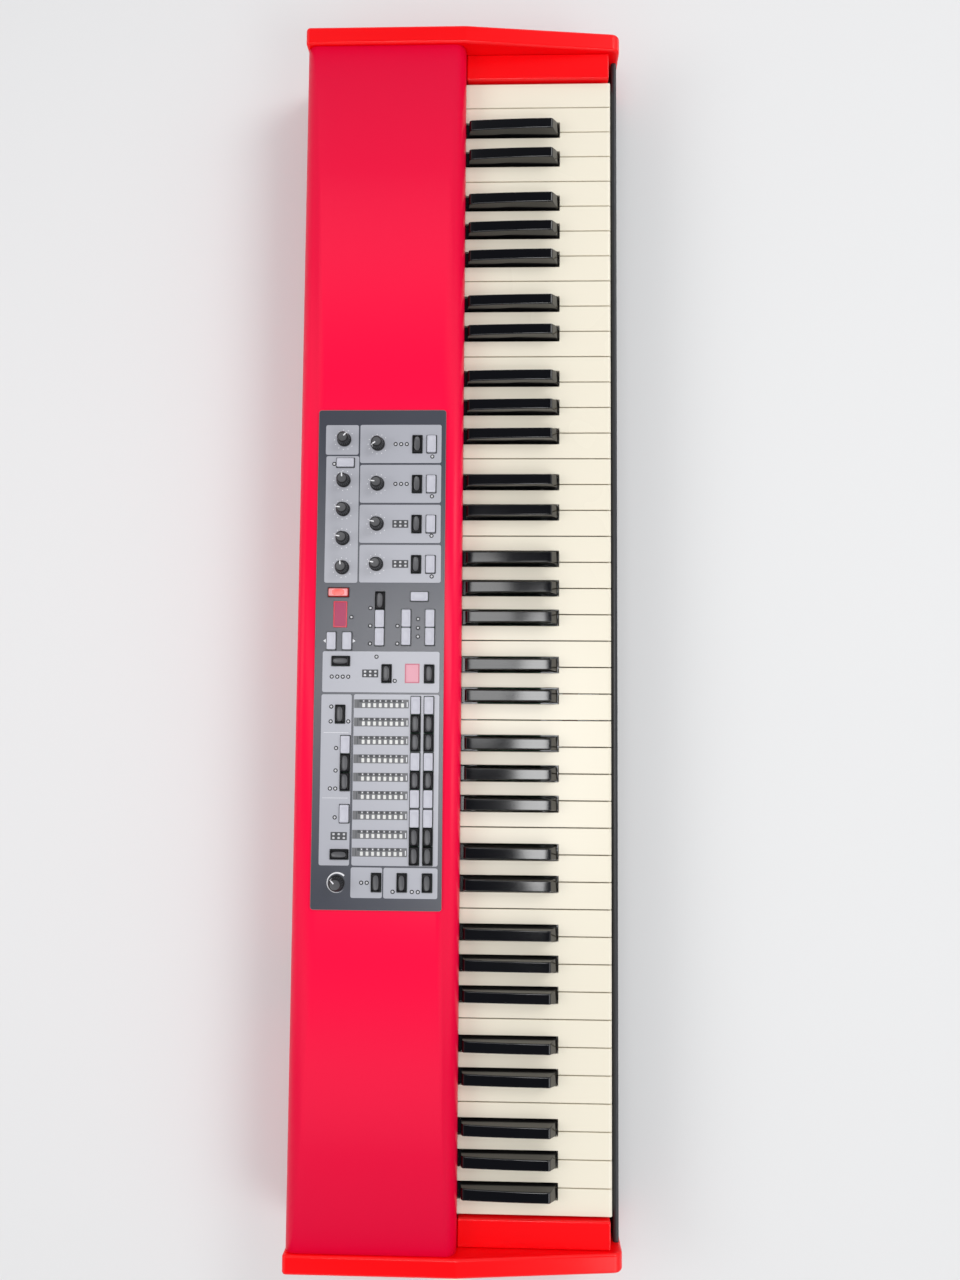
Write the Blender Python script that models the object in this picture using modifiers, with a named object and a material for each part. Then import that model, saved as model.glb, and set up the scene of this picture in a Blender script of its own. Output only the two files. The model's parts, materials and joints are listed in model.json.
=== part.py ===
"""Stage keyboard: 73 waterfall keys in a folded metal case between two lacquered wooden cheeks.

Sizes are in metres. +X is the player's right, +Y the back and +Z up. The origin is on the ground
under the middle of the instrument.
"""

import math

import bmesh
import bpy
from mathutils import Matrix, Vector

# Fits
CLEAR = 0.0003
SHEET = 0.0012

# Keys, from the low F to the high F
WHITE_KEYS = 43
KEY_PITCH = 0.0236
KEY_GAP = 0.0010
KEY_SHOWN = 0.1333
KEY_SKIRT = 0.015
KEY_APRON = 0.020
KEY_WALL = 0.0020
KEY_LIP_RADIUS = 0.0030
KEY_DIP = 0.0100
KEY_END_GAP = 0.0012
BLACK_WIDTH = 0.0120
BLACK_TOP_WIDTH = 0.0092
BLACK_SIDE_GAP = 0.0013
BLACK_START = 0.0479
BLACK_SLOPE = 0.0062
BLACK_HEIGHT = 0.0122
BLACK_REAR_HEIGHT = 0.0088
BLACK_EDGE = 0.0011
BLACK_CREST = 0.0022
BLACK_REAR_ROUND = 0.0030
BLACK_END_GAP = 0.0030
BLACK_NOTCH_GAP = 0.0011
OUTER_OFFSET = 0.0030
INNER_OFFSET = 0.0020

# Hinge line of the keys
PIVOT_BACK = 0.205
PIVOT_DROP = 0.010
ROD_RADIUS = 0.0020
TAIL_BEHIND_ROD = 0.0050
HINGE_BAR = 0.0050
BLACK_BAR_LIFT = 0.0012
BLACK_BAR_HEIGHT = 0.0045
BLACK_BAR_DEPTH = 0.0090

# Case
FOOT_HEIGHT = 0.0080
KEYS_ABOVE_BASE = 0.0600
PANEL_RISE = 0.0200
PANEL_DEPTH = 0.1457
PANEL_BEND = 0.0095
PANEL_LIP = 0.0040
PANEL_HEM = 0.0060
TRAY_FRONT_WALL = 0.0280
TRAY_REAR_WALL = 0.0160
SHELL_LIFT = 0.0040
CHEEK_THICKNESS = 0.0165
CHEEK_PROUD = 0.0030
CHEEK_NOSE_RISE = 0.0080
CHEEK_OVERHANG = 0.0010
CHEEK_BELOW_BASE = 0.0020
CHEEK_EDGE = 0.0024
CHEEK_HEEL = 0.0040
CHEEK_SHOULDER = 0.0300
CHEEK_NOSE = 0.0085
BLOCK_WIDTH = 0.0236
BLOCK_RISE = 0.0050
BLOCK_SETBACK = 0.0020
BLOCK_WALL = 0.0025
BLOCK_EDGE = 0.0012
RAIL_GAP = 0.0015
RAIL_DEPTH = 0.0050
RAIL_DROP = 0.0090
RAIL_ROUND = 0.0021
RAIL_LAP = 0.0080
NOSE_OVERHANG = 0.0015
FOOT_RADIUS = 0.0110
FOOT_RECESS = 0.0040
FOOT_EDGE = 0.0015
FOOT_INSET = (0.0900, 0.0350)

# Keybed
FRAME_TOE = 0.0060
FRAME_FRONT = 0.0160
FRAME_SHELF_END = 0.1500
FELT_FRONT = 0.0280
FELT_DEPTH = 0.0140
FELT_HEIGHT = 0.0030
CONTACT_FRONT = 0.0620
CONTACT_DEPTH = 0.0580
CONTACT_STRIP_DEPTH = 0.0120
BOARD = 0.0016

# Control panel. X is from the middle of the keyboard, and Y from the front edge of the overlay, or from
# its rear edge where the name says REAR
OVERLAY_THICKNESS = 0.0008
OVERLAY_SETBACK = 0.0147
OVERLAY_DEPTH = 0.1135
OVERLAY_LEFT_MARGIN = 0.0239
OVERLAY_RIGHT_MARGIN = 0.0307
OVERLAY_CORNER = 0.0025
BUTTON_LONG = 0.0152
BUTTON_SHORT = 0.0078
BUTTON_SPACE = 0.0008
BUTTON_SLIDE = 0.0004
BUTTON_PROUD = 0.0020
BUTTON_TRAVEL = 0.0008
BUTTON_MAT = 0.0012
MAT_MARGIN = 0.0015
MAT_DROP = 0.0060
RIB = 0.0006
WINDOW_MARGIN = 0.0010
KNOB_RADIUS = 0.0063
MASTER_RADIUS = 0.0069
KNOB_HEIGHT = 0.0110
KNOB_SKIRT = 0.0022
KNOB_STEP = 0.0012
KNOB_EDGE = 0.0006
SHAFT_RADIUS = 0.0030
SHAFT_HEIGHT = 0.0070
KNOB_LIFT = 0.0004
POT_WIDTH = 0.0095
WINDOW_DEPTH = 0.0020

# Organ section
ORGAN_FIRST = -0.1838
TRIPLET_SPACE = 0.0008
DRAWBAR_ROWS = (0.0127, 0.0243)
SELECTOR_PLACE = (0.0632, 0.0282)
ORGAN_SINGLES = ((0.1056, 0.0231, "x"), (0.0196, 0.0282, "x"), (-0.0153, 0.0243, "y"))
PRESET_LEFT = 0.0153
PRESET_ROWS = (0.0128, 0.0346, 0.0568)
MASTER_PLACE = (-0.0009, 0.0228)

# Piano section
PIANO_AFTER_ORGAN = 0.0200
PIANO_ROWS = (0.0129, 0.0502)
PIANO_SELECTOR = (0.0108, 0.0229, "y")
PIANO_WINDOW = (0.0002, 0.0276, 0.0170, 0.0128)

# Program section
PROGRAM_AFTER_PIANO = 0.0406
PROGRAM_ROW = (0.0075, 0.0568)
PROGRAM_PAIR_ROWS = (0.0126, 0.0335)
SHIFT_PLACE = (0.0271, 0.0221)
ARROWS_REAR = ((-0.0122, 0.0282, "x"), (-0.0122, 0.0144, "x"))
PROGRAM_WINDOW = (0.0112, 0.0219, 0.0230, 0.0120)
STORE_LONG = 0.0180
STORE_PLACE = (0.0306, 0.0199)

# Effect section
EFFECT_AFTER_PROGRAM = 0.0557
EFFECT_PITCH = 0.0358
EFFECT_ROWS = (0.0128, 0.0255)
EFFECT_KNOB_ROW = 0.0605
TONE_BEFORE_EFFECTS = 0.0031
TONE_PITCH = 0.0259
TONE_BUTTON_AFTER = 0.0161
TONE_BUTTON_REAR = 0.0242
REAR_KNOBS = 0.0230
DRIVE_AFTER_EFFECTS = 0.0039

# Sockets in the rear wall. X is from the middle and the height is above the tray's underside
SOCKET_HEIGHT = 0.0340
JACKS_X = (-0.0737, -0.0900, -0.1065, -0.2090, -0.2255, -0.2420, -0.2585)
DIN_X = (-0.1270, -0.1480)
USB_X = -0.1795
JACK_BORE = 0.0034
JACK_NOSE = 0.0050
JACK_BODY = (0.0140, 0.0260, 0.0130)
DIN_RADIUS = 0.0078
DIN_BODY = 0.0180
DIN_DEPTH = 0.0060
USB_SIZE = (0.0120, 0.0110)
USB_BODY = 0.0160
JACK_BOARD_DEPTH = 0.0360
INLET_X = -0.3300
INLET_SIZE = (0.0270, 0.0200)
INLET_WALL = 0.0015
INLET_DEPTH = 0.0170
INLET_PIN = (0.0020, 0.0110, 0.0040)
INLET_PIN_SPREAD = 0.0070
SWITCH_SIZE = (0.0120, 0.0200)
SWITCH_DEPTH = 0.0120
SWITCH_TRAVEL = math.radians(16)
FLANGE = 0.0035
FLANGE_THICKNESS = 0.0007

# Circuit board in the case
MAIN_BOARD_X = (0.080, 0.330)
MAIN_BOARD_DEPTH = 0.0400
BOARD_BLOCKS = (
    (0.120, 0.036, 0.026, 0.024),
    (0.240, 0.024, 0.024, 0.003),
    (0.290, 0.016, 0.020, 0.003),
)
CAPACITORS_X = (0.165, 0.185, 0.205)
CAPACITOR_RADIUS = 0.0065
CAPACITOR_HEIGHT = 0.0180
POST_RADIUS = 0.0030
POST_HEIGHT = 0.0060

# Places that follow from the sizes
KEY_FRONT = -(NOSE_OVERHANG + RAIL_DEPTH + RAIL_GAP + KEY_SHOWN + PANEL_DEPTH + CHEEK_OVERHANG) / 2
KEY_FRONT += NOSE_OVERHANG + RAIL_DEPTH + RAIL_GAP
PANEL_FRONT = KEY_FRONT + KEY_SHOWN
REAR = PANEL_FRONT + PANEL_DEPTH
RAIL_FRONT = KEY_FRONT - RAIL_GAP - RAIL_DEPTH
CHEEK_FRONT = RAIL_FRONT - NOSE_OVERHANG
CHEEK_REAR = REAR + CHEEK_OVERHANG
KEYS_HALF = WHITE_KEYS * KEY_PITCH / 2
BLOCK_INNER = KEYS_HALF + KEY_END_GAP
CHEEK_INNER = BLOCK_INNER + BLOCK_WIDTH + CLEAR
CASE_HALF = CHEEK_INNER - CLEAR
KEY_TOP = FOOT_HEIGHT + KEYS_ABOVE_BASE
PANEL_TOP = KEY_TOP + PANEL_RISE
TRAY_FLOOR = FOOT_HEIGHT + SHEET
KEY_BOTTOM = KEY_TOP - KEY_SKIRT
PIVOT_Y = KEY_FRONT + PIVOT_BACK
PIVOT_Z = KEY_TOP - PIVOT_DROP
TAIL_END = PIVOT_Y + ROD_RADIUS + TAIL_BEHIND_ROD
KEY_REAR = TAIL_END + KEY_GAP + HINGE_BAR
NOTCH_Y = KEY_FRONT + BLACK_START - BLACK_NOTCH_GAP
NOTCH_HALF = BLACK_WIDTH / 2 + BLACK_SIDE_GAP
DIP_ANGLE = math.asin(KEY_DIP / PIVOT_BACK)
BUTTON_PITCH = BUTTON_LONG + BUTTON_SPACE
TRIPLET_PITCH = 3 * BUTTON_PITCH + TRIPLET_SPACE
DRAWBARS_LEFT = ORGAN_FIRST - BUTTON_PITCH - BUTTON_LONG / 2
DRAWBARS_RIGHT = ORGAN_FIRST + 2 * TRIPLET_PITCH + BUTTON_PITCH + BUTTON_LONG / 2
PRESET_X = DRAWBARS_LEFT - PRESET_LEFT
PIANO_X = DRAWBARS_RIGHT + PIANO_AFTER_ORGAN
PROGRAM_X = PIANO_X + PROGRAM_AFTER_PIANO
EFFECT_FIRST = PROGRAM_X + EFFECT_AFTER_PROGRAM
EFFECT_LAST = EFFECT_FIRST + 3 * EFFECT_PITCH
TONE_FIRST = EFFECT_FIRST - TONE_BEFORE_EFFECTS
TONE_LAST = TONE_FIRST + 3 * TONE_PITCH
OVERLAY_X = (PRESET_X - OVERLAY_LEFT_MARGIN, EFFECT_LAST + OVERLAY_RIGHT_MARGIN)
OVERLAY_FRONT = PANEL_FRONT + OVERLAY_SETBACK
OVERLAY_REAR = OVERLAY_FRONT + OVERLAY_DEPTH
OVERLAY_BOTTOM = PANEL_TOP + CLEAR
OVERLAY_TOP = OVERLAY_BOTTOM + OVERLAY_THICKNESS
MAT_TOP = PANEL_TOP - SHEET - MAT_DROP
MAT_BOTTOM = MAT_TOP - BUTTON_MAT
PANEL_BOARD_TOP = MAT_BOTTOM - BUTTON_TRAVEL - CLEAR
SOCKET_Z = FOOT_HEIGHT + SOCKET_HEIGHT
OCTAVE = "FGABCDE"
SEMITONES = 12
BLACK_OFFSETS = {"F": -OUTER_OFFSET, "G": 0.0, "A": OUTER_OFFSET, "C": -INNER_OFFSET, "D": INNER_OFFSET}
OCTAVES = WHITE_KEYS // len(OCTAVE)
FREE_OCTAVE = OCTAVES // 2 - 1
ARCH_STEPS = 2


# Scene and materials


def clear_scene():
    for obj in list(bpy.data.objects):
        bpy.data.objects.remove(obj, do_unlink=True)


def new_collection(name, hidden=False):
    collection = bpy.data.collections.new(name)
    collection.hide_render = hidden
    bpy.context.scene.collection.children.link(collection)
    return collection


def new_material(name, colour, roughness, metallic=0.0):
    material = bpy.data.materials.new(name)
    material.use_nodes = True
    shader = material.node_tree.nodes["Principled BSDF"]
    shader.inputs["Base Color"].default_value = (*colour, 1.0)
    shader.inputs["Roughness"].default_value = roughness
    shader.inputs["Metallic"].default_value = metallic
    material.diffuse_color = (*colour, 1.0)
    return material


clear_scene()
PARTS = new_collection("stage_keyboard")
TOOLS = new_collection("cutters", hidden=True)

CASE_RED = new_material("case_red", (0.80, 0.005, 0.045), 0.38)
LACQUER_RED = new_material("lacquer_red", (0.80, 0.004, 0.006), 0.30)
IVORY = new_material("key_ivory", (0.86, 0.82, 0.69), 0.22)
KEY_BLACK = new_material("key_black", (0.006, 0.006, 0.007), 0.14)
STEEL_BLACK = new_material("black_steel", (0.03, 0.03, 0.035), 0.45, 0.3)
STEEL = new_material("plated_steel", (0.55, 0.56, 0.58), 0.35, 1.0)
OVERLAY_GREY = new_material("overlay_grey", (0.06, 0.068, 0.09), 0.5)
CAP_GREY = new_material("cap_grey", (0.58, 0.58, 0.64), 0.5)
KNOB_BLACK = new_material("knob_black", (0.02, 0.02, 0.025), 0.4)
STORE_RED = new_material("store_red", (0.85, 0.03, 0.02), 0.3)
DISPLAY_RED = new_material("display_red", (0.45, 0.01, 0.06), 0.1)
DISPLAY_PINK = new_material("display_pink", (0.75, 0.25, 0.33), 0.2)
FELT = new_material("felt_red", (0.35, 0.02, 0.03), 0.95)
BOARD_GREEN = new_material("board_green", (0.02, 0.16, 0.07), 0.5)
SOCKET_BLACK = new_material("socket_black", (0.015, 0.015, 0.015), 0.4)
RUBBER = new_material("rubber_black", (0.02, 0.02, 0.02), 0.85)


# Shape tools


def add_object(name, mesh, material=None, collection=None, matrix=None):
    obj = bpy.data.objects.new(name, mesh)
    (collection or PARTS).objects.link(obj)
    if matrix is not None:
        obj.matrix_world = matrix
    if material is not None:
        mesh.materials.append(material)
    if obj.name in TOOLS.objects:
        obj.hide_render = True
        obj.display_type = "WIRE"
    return obj


def mesh_of(bm, name):
    bmesh.ops.recalc_face_normals(bm, faces=bm.faces)
    mesh = bpy.data.meshes.new(name)
    bm.to_mesh(mesh)
    bm.free()
    return mesh


def smooth(obj, degrees=35):
    obj.data.shade_smooth()
    obj.data.set_sharp_from_angle(angle=math.radians(degrees))


def rounded(corners, steps=4, closed=True):
    """Points of an outline whose corners are (a, b) when sharp and (a, b, radius) when round."""
    points = []
    for i, corner in enumerate(corners):
        here = Vector(corner[:2])
        radius = corner[2] if len(corner) > 2 else 0.0
        at_end = not closed and i in (0, len(corners) - 1)
        if not radius or at_end:
            points.append(here)
            continue
        back = (Vector(corners[i - 1][:2]) - here).normalized()
        ahead = (Vector(corners[(i + 1) % len(corners)][:2]) - here).normalized()
        half = back.angle(ahead) / 2
        centre = here + (back + ahead).normalized() * (radius / math.sin(half))
        start = here + back * (radius / math.tan(half)) - centre
        end = here + ahead * (radius / math.tan(half)) - centre
        sweep = math.atan2(start.cross(end), start.dot(end))
        for step in range(steps + 1):
            points.append(centre + Matrix.Rotation(sweep * step / steps, 2) @ start)
    return [(point[0], point[1]) for point in points]


def circle(x, y, radius, steps):
    turn = 2 * math.pi / steps
    return [(x + radius * math.cos(k * turn), y + radius * math.sin(k * turn)) for k in range(steps)]


def rectangle(box, radius=0.0, steps=2):
    low_x, high_x, low_y, high_y = box
    corners = [(low_x, low_y), (high_x, low_y), (high_x, high_y), (low_x, high_y)]
    return rounded([(*corner, radius) for corner in corners], steps)


def plate(name, outlines, thickness, material, matrix, collection=None):
    """Flat piece from closed outlines, the first outside and the rest its holes, as thick as it says."""
    curve = bpy.data.curves.new(name, "CURVE")
    curve.dimensions = "2D"
    curve.fill_mode = "BOTH"
    curve.extrude = thickness / 2
    for outline in outlines:
        spline = curve.splines.new("POLY")
        spline.points.add(len(outline) - 1)
        for point, (a, b) in zip(spline.points, outline):
            point.co = (a, b, 0.0, 1.0)
        spline.use_cyclic_u = True
    drawn = bpy.data.objects.new(name + "_outline", curve)
    bpy.context.scene.collection.objects.link(drawn)
    drawn.matrix_world = matrix
    bpy.context.view_layer.update()
    graph = bpy.context.evaluated_depsgraph_get()
    mesh = bpy.data.meshes.new_from_object(drawn.evaluated_get(graph))
    mesh.name = name
    bm = bmesh.new()
    bm.from_mesh(mesh)
    bmesh.ops.remove_doubles(bm, verts=bm.verts, dist=1e-6)
    bmesh.ops.dissolve_limit(bm, angle_limit=1e-3, verts=bm.verts, edges=bm.edges)
    bmesh.ops.recalc_face_normals(bm, faces=bm.faces)
    bm.to_mesh(mesh)
    bm.free()
    mesh.materials.clear()
    world = drawn.matrix_world.copy()
    bpy.data.objects.remove(drawn, do_unlink=True)
    return add_object(name, mesh, material, collection, world)


def side_on(x, y=0.0, z=0.0):
    """Matrix that turns an outline drawn in (Y, Z) so that its thickness lies along X."""
    turned = Matrix(((0, 0, 1, 0), (1, 0, 0, 0), (0, 1, 0, 0), (0, 0, 0, 1)))
    return Matrix.Translation((x, y, z)) @ turned


def prism(name, outline, low_x, high_x, material, collection=None):
    """Solid bar along X whose section is an outline in (Y, Z)."""
    middle = (low_x + high_x) / 2
    return plate(name, [outline], high_x - low_x, material, side_on(middle), collection)


def folded_sheet(name, path, half_width, material):
    """Sheet bent along X. The path is its outer face in (Y, Z), with that face on the path's left."""
    bm = bmesh.new()
    rows = []
    for y, z in path:
        rows.append([bm.verts.new((side * half_width, y, z)) for side in (-1, 1)])
    for here, ahead in zip(rows, rows[1:]):
        bm.faces.new((here[0], here[1], ahead[1], ahead[0]))
    mesh = bpy.data.meshes.new(name)
    bm.to_mesh(mesh)
    bm.free()
    obj = add_object(name, mesh, material)
    thicken(obj, SHEET)
    return obj


def add_box(bm, low, high):
    low, high = Vector(low), Vector(high)
    placed = Matrix.Translation((low + high) / 2) @ Matrix.Diagonal((*(high - low), 1.0))
    bmesh.ops.create_cube(bm, size=1.0, matrix=placed)


def add_cylinder(bm, centre, radius, length, axis="Z", segments=12):
    turns = {"X": Matrix.Rotation(math.pi / 2, 4, "Y"), "Y": Matrix.Rotation(-math.pi / 2, 4, "X")}
    placed = Matrix.Translation(centre) @ turns.get(axis, Matrix.Identity(4))
    bmesh.ops.create_cone(
        bm,
        cap_ends=True,
        segments=segments,
        radius1=radius,
        radius2=radius,
        depth=length,
        matrix=placed,
    )


def box_object(name, low, high, material, collection=None):
    bm = bmesh.new()
    middle = (Vector(low) + Vector(high)) / 2
    add_box(bm, Vector(low) - middle, Vector(high) - middle)
    return add_object(name, mesh_of(bm, name), material, collection, Matrix.Translation(middle))


def thicken(obj, thickness):
    solid = obj.modifiers.new("Thickness", "SOLIDIFY")
    solid.thickness = thickness
    solid.offset = -1.0
    solid.use_even_offset = True


def bevel(obj, width, segments=1, method="ANGLE"):
    edge = obj.modifiers.new("Edges", "BEVEL")
    edge.width = width
    edge.segments = segments
    edge.limit_method = method
    edge.angle_limit = math.radians(40)


def combine(obj, other, operation):
    joined = obj.modifiers.new(operation.title(), "BOOLEAN")
    joined.operation = operation
    joined.solver = "EXACT"
    joined.object = other


def turned(name, profile, material, matrix, steps):
    """Turned piece. The profile holds (radius, height) points down the outside, from top to bottom."""
    bm = bmesh.new()
    verts = [bm.verts.new((radius, 0.0, z)) for radius, z in profile]
    for here, ahead in zip(verts, verts[1:]):
        bm.edges.new((here, ahead))
    mesh = bpy.data.meshes.new(name)
    bm.to_mesh(mesh)
    bm.free()
    obj = add_object(name, mesh, material, matrix=matrix)
    screw = obj.modifiers.new("Turn", "SCREW")
    screw.axis = "Z"
    screw.steps = steps
    screw.render_steps = steps
    screw.use_merge_vertices = True
    screw.merge_threshold = 1e-5
    return obj


# Keys


def key_edges(i):
    """Low and high side of white key i."""
    low = -KEYS_HALF + i * KEY_PITCH
    return low + KEY_GAP / 2, low + KEY_PITCH - KEY_GAP / 2


def black_centre(i):
    """Middle of the black key above white key i, or None where there is none."""
    letter = OCTAVE[i % len(OCTAVE)]
    if letter not in BLACK_OFFSETS or not 0 <= i < WHITE_KEYS - 1:
        return None
    return -KEYS_HALF + (i + 1) * KEY_PITCH + BLACK_OFFSETS[letter]


def white_outline(first, count):
    """Outline of neighbouring white keys, seen from above, joined by the bar behind their tails."""
    low = key_edges(first)[0]
    before = black_centre(first - 1)
    points = []
    if before is None:
        points += [(low, KEY_REAR), (low, NOTCH_Y), (low, KEY_FRONT)]
    else:
        side = before + NOTCH_HALF
        points += [(side, KEY_REAR), (side, NOTCH_Y), (low, NOTCH_Y), (low, KEY_FRONT)]
    for i in range(first, first + count):
        high = key_edges(i)[1]
        after = black_centre(i)
        last = i == first + count - 1
        end = KEY_REAR if last else TAIL_END + KEY_GAP
        points.append((high, KEY_FRONT))
        points.append((high, NOTCH_Y))
        if after is None:
            points.append((high, end))
        else:
            points += [(after - NOTCH_HALF, NOTCH_Y), (after - NOTCH_HALF, end)]
        if last:
            break
        following = key_edges(i + 1)[0]
        if after is None:
            points.append((following, end))
        else:
            side = after + NOTCH_HALF
            points += [(side, end), (side, NOTCH_Y)]
        points += [(following, NOTCH_Y), (following, KEY_FRONT)]
    return points


def white_keys(name, first, count):
    """Hollow waterfall keys, open below, that drop over the hinge rod."""
    outline = white_outline(first, count)
    middle = (key_edges(first)[0] + key_edges(first + count - 1)[1]) / 2
    origin = Vector((middle, PIVOT_Y, PIVOT_Z))
    bm = bmesh.new()
    weight = bm.edges.layers.float.new("bevel_weight_edge")
    top = bm.faces.new([bm.verts.new(Vector((x, y, KEY_TOP)) - origin) for x, y in outline])
    front = KEY_FRONT - origin.y + 1e-6
    for edge in top.edges:
        edge[weight] = float(all(vert.co.y < front for vert in edge.verts))
    skirts = bmesh.ops.extrude_edge_only(bm, edges=top.edges[:])
    for vert in skirts["geom"]:
        if isinstance(vert, bmesh.types.BMVert):
            vert.co.z -= KEY_APRON if vert.co.y < front else KEY_SKIRT
    bm.normal_update()
    bmesh.ops.recalc_face_normals(bm, faces=bm.faces)
    if top.normal.z < 0:
        bmesh.ops.reverse_faces(bm, faces=bm.faces)
    mesh = bpy.data.meshes.new(name)
    bm.to_mesh(mesh)
    bm.free()
    obj = add_object(name, mesh, IVORY, matrix=Matrix.Translation(origin))
    bevel(obj, KEY_LIP_RADIUS, 2, "WEIGHT")
    thicken(obj, KEY_WALL)
    combine(obj, ROD_SLOT, "DIFFERENCE")
    return obj


def black_profile():
    """Side view of a black key in (Y, Z): sloped front, arched top, tail and the boss over the rod."""
    front = KEY_FRONT + BLACK_START
    crest = front + BLACK_SLOPE
    cap_end = PANEL_FRONT - BLACK_END_GAP
    tail_top = KEY_TOP - KEY_GAP
    boss_top = KEY_TOP + BLACK_BAR_LIFT + BLACK_BAR_HEIGHT
    fall = BLACK_HEIGHT - BLACK_REAR_HEIGHT
    arch = []
    for step in range(1, ARCH_STEPS):
        along = step / ARCH_STEPS
        arch.append((crest + along * (cap_end - crest), KEY_TOP + BLACK_HEIGHT - fall * along**2))
    return rounded(
        [
            (front, KEY_TOP - KEY_DIP),
            (front, KEY_TOP),
            (crest, KEY_TOP + BLACK_HEIGHT, BLACK_CREST),
            *arch,
            (cap_end, KEY_TOP + BLACK_REAR_HEIGHT, BLACK_REAR_ROUND),
            (cap_end, tail_top),
            (PIVOT_Y - BLACK_BAR_DEPTH / 2 - BLACK_BAR_LIFT, tail_top),
            (PIVOT_Y - BLACK_BAR_DEPTH / 2, boss_top),
            (TAIL_END, boss_top),
            (TAIL_END, KEY_BOTTOM),
            (front + KEY_SKIRT, KEY_BOTTOM),
        ],
        steps=2,
    )


def black_key_mesh(bm, x):
    """Adds one black key at x, narrowing above the white keys, with its upper edges marked for rounding."""
    weight = bm.edges.layers.float.get("bevel_weight_edge")
    outline = [(y - PIVOT_Y, z - PIVOT_Z) for y, z in black_profile()]
    low = [bm.verts.new((x - BLACK_WIDTH / 2, y, z)) for y, z in outline]
    side = bm.faces.new(low)
    other = bmesh.ops.extrude_face_region(bm, geom=[side])["geom"]
    verts = [item for item in other if isinstance(item, bmesh.types.BMVert)]
    bmesh.ops.translate(bm, verts=verts, vec=(BLACK_WIDTH, 0.0, 0.0))
    white_top = KEY_TOP - PIVOT_Z
    cap_rear = PANEL_FRONT - PIVOT_Y
    draft = (BLACK_WIDTH - BLACK_TOP_WIDTH) / 2 / BLACK_HEIGHT
    for vert in low + verts:
        above = vert.co.z - white_top
        if above > 0 and vert.co.y < cap_rear:
            vert.co.x += math.copysign(draft * above, x - vert.co.x)
    for edge in {edge for vert in low + verts for edge in vert.link_edges}:
        high = all(vert.co.z > white_top + 0.0001 and vert.co.y < cap_rear for vert in edge.verts)
        along = (edge.verts[0].co.x - x) * (edge.verts[1].co.x - x) > 0
        edge[weight] = float(high and along)


def black_keys(name, centres):
    """Black keys with the given centres. More than one share the bar that runs over the white tails."""
    middle = (centres[0] + centres[-1]) / 2
    bm = bmesh.new()
    bm.edges.layers.float.new("bevel_weight_edge")
    for x in centres:
        black_key_mesh(bm, x - middle)
    origin = Matrix.Translation((middle, PIVOT_Y, PIVOT_Z))
    obj = add_object(name, mesh_of(bm, name), KEY_BLACK, matrix=origin)
    bevel(obj, BLACK_EDGE, 1, "WEIGHT")
    if len(centres) > 1:
        bottom = KEY_TOP + BLACK_BAR_LIFT
        low = (centres[0], PIVOT_Y - BLACK_BAR_DEPTH / 2 + KEY_GAP, bottom)
        high = (centres[-1], TAIL_END - KEY_GAP, bottom + BLACK_BAR_HEIGHT - KEY_GAP / 2)
        combine(obj, box_object(name + "_bar", low, high, None, TOOLS), "UNION")
    combine(obj, ROD_SLOT, "DIFFERENCE")
    return obj


def rod_slot():
    """Cutter for the slots by which the keys sit over the hinge rod."""
    half = ROD_RADIUS + CLEAR
    reach = KEYS_HALF + KEY_PITCH
    low = (-reach, PIVOT_Y - half, KEY_BOTTOM - KEY_SKIRT)
    return box_object("rod_slot", low, (reach, PIVOT_Y + half, PIVOT_Z + half), None, TOOLS)


def note_name(semitone):
    """Name of a key counted in semitones from the lowest F."""
    letters = ("F", "Fs", "G", "Gs", "A", "As", "B", "C", "Cs", "D", "Ds", "E")
    octave = 1 + (semitone + letters[::-1].index("C") + 1) // SEMITONES
    return f"{letters[semitone % SEMITONES]}{octave}"


def free_keys(octave):
    """Each key of one octave as a piece of its own."""
    semitone = SEMITONES * octave
    for i in range(octave * len(OCTAVE), (octave + 1) * len(OCTAVE)):
        white_keys("key_" + note_name(semitone), i, 1)
        semitone += 1
        centre = black_centre(i)
        if centre is not None:
            black_keys("key_" + note_name(semitone), [centre])
            semitone += 1


def key_sets(octave):
    """The white keys and the black keys of one octave, each as one moulded set."""
    first = octave * len(OCTAVE)
    last = octave == OCTAVES - 1
    count = len(OCTAVE) + last
    lowest = SEMITONES * octave
    span = note_name(lowest) + "_" + note_name(lowest + SEMITONES - 1 + last)
    white_keys("white_keys_" + span, first, count)
    centres = [black_centre(i) for i in range(first, first + count)]
    black_keys("black_keys_" + span, [x for x in centres if x is not None])


# Keybed


def skirt_bottom(back):
    """Lower edge of a white key's side this far behind its front, at rest."""
    share = min(1.0, back / (BLACK_START - BLACK_NOTCH_GAP))
    return KEY_TOP - KEY_APRON + share * (KEY_APRON - KEY_SKIRT)


def pressed_bottom(back):
    """The same edge when the key is down, turned about the rod."""
    y = back - PIVOT_BACK
    z = skirt_bottom(back) - PIVOT_Z
    return PIVOT_Z + y * math.sin(DIP_ANGLE) + z * math.cos(DIP_ANGLE)


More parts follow.
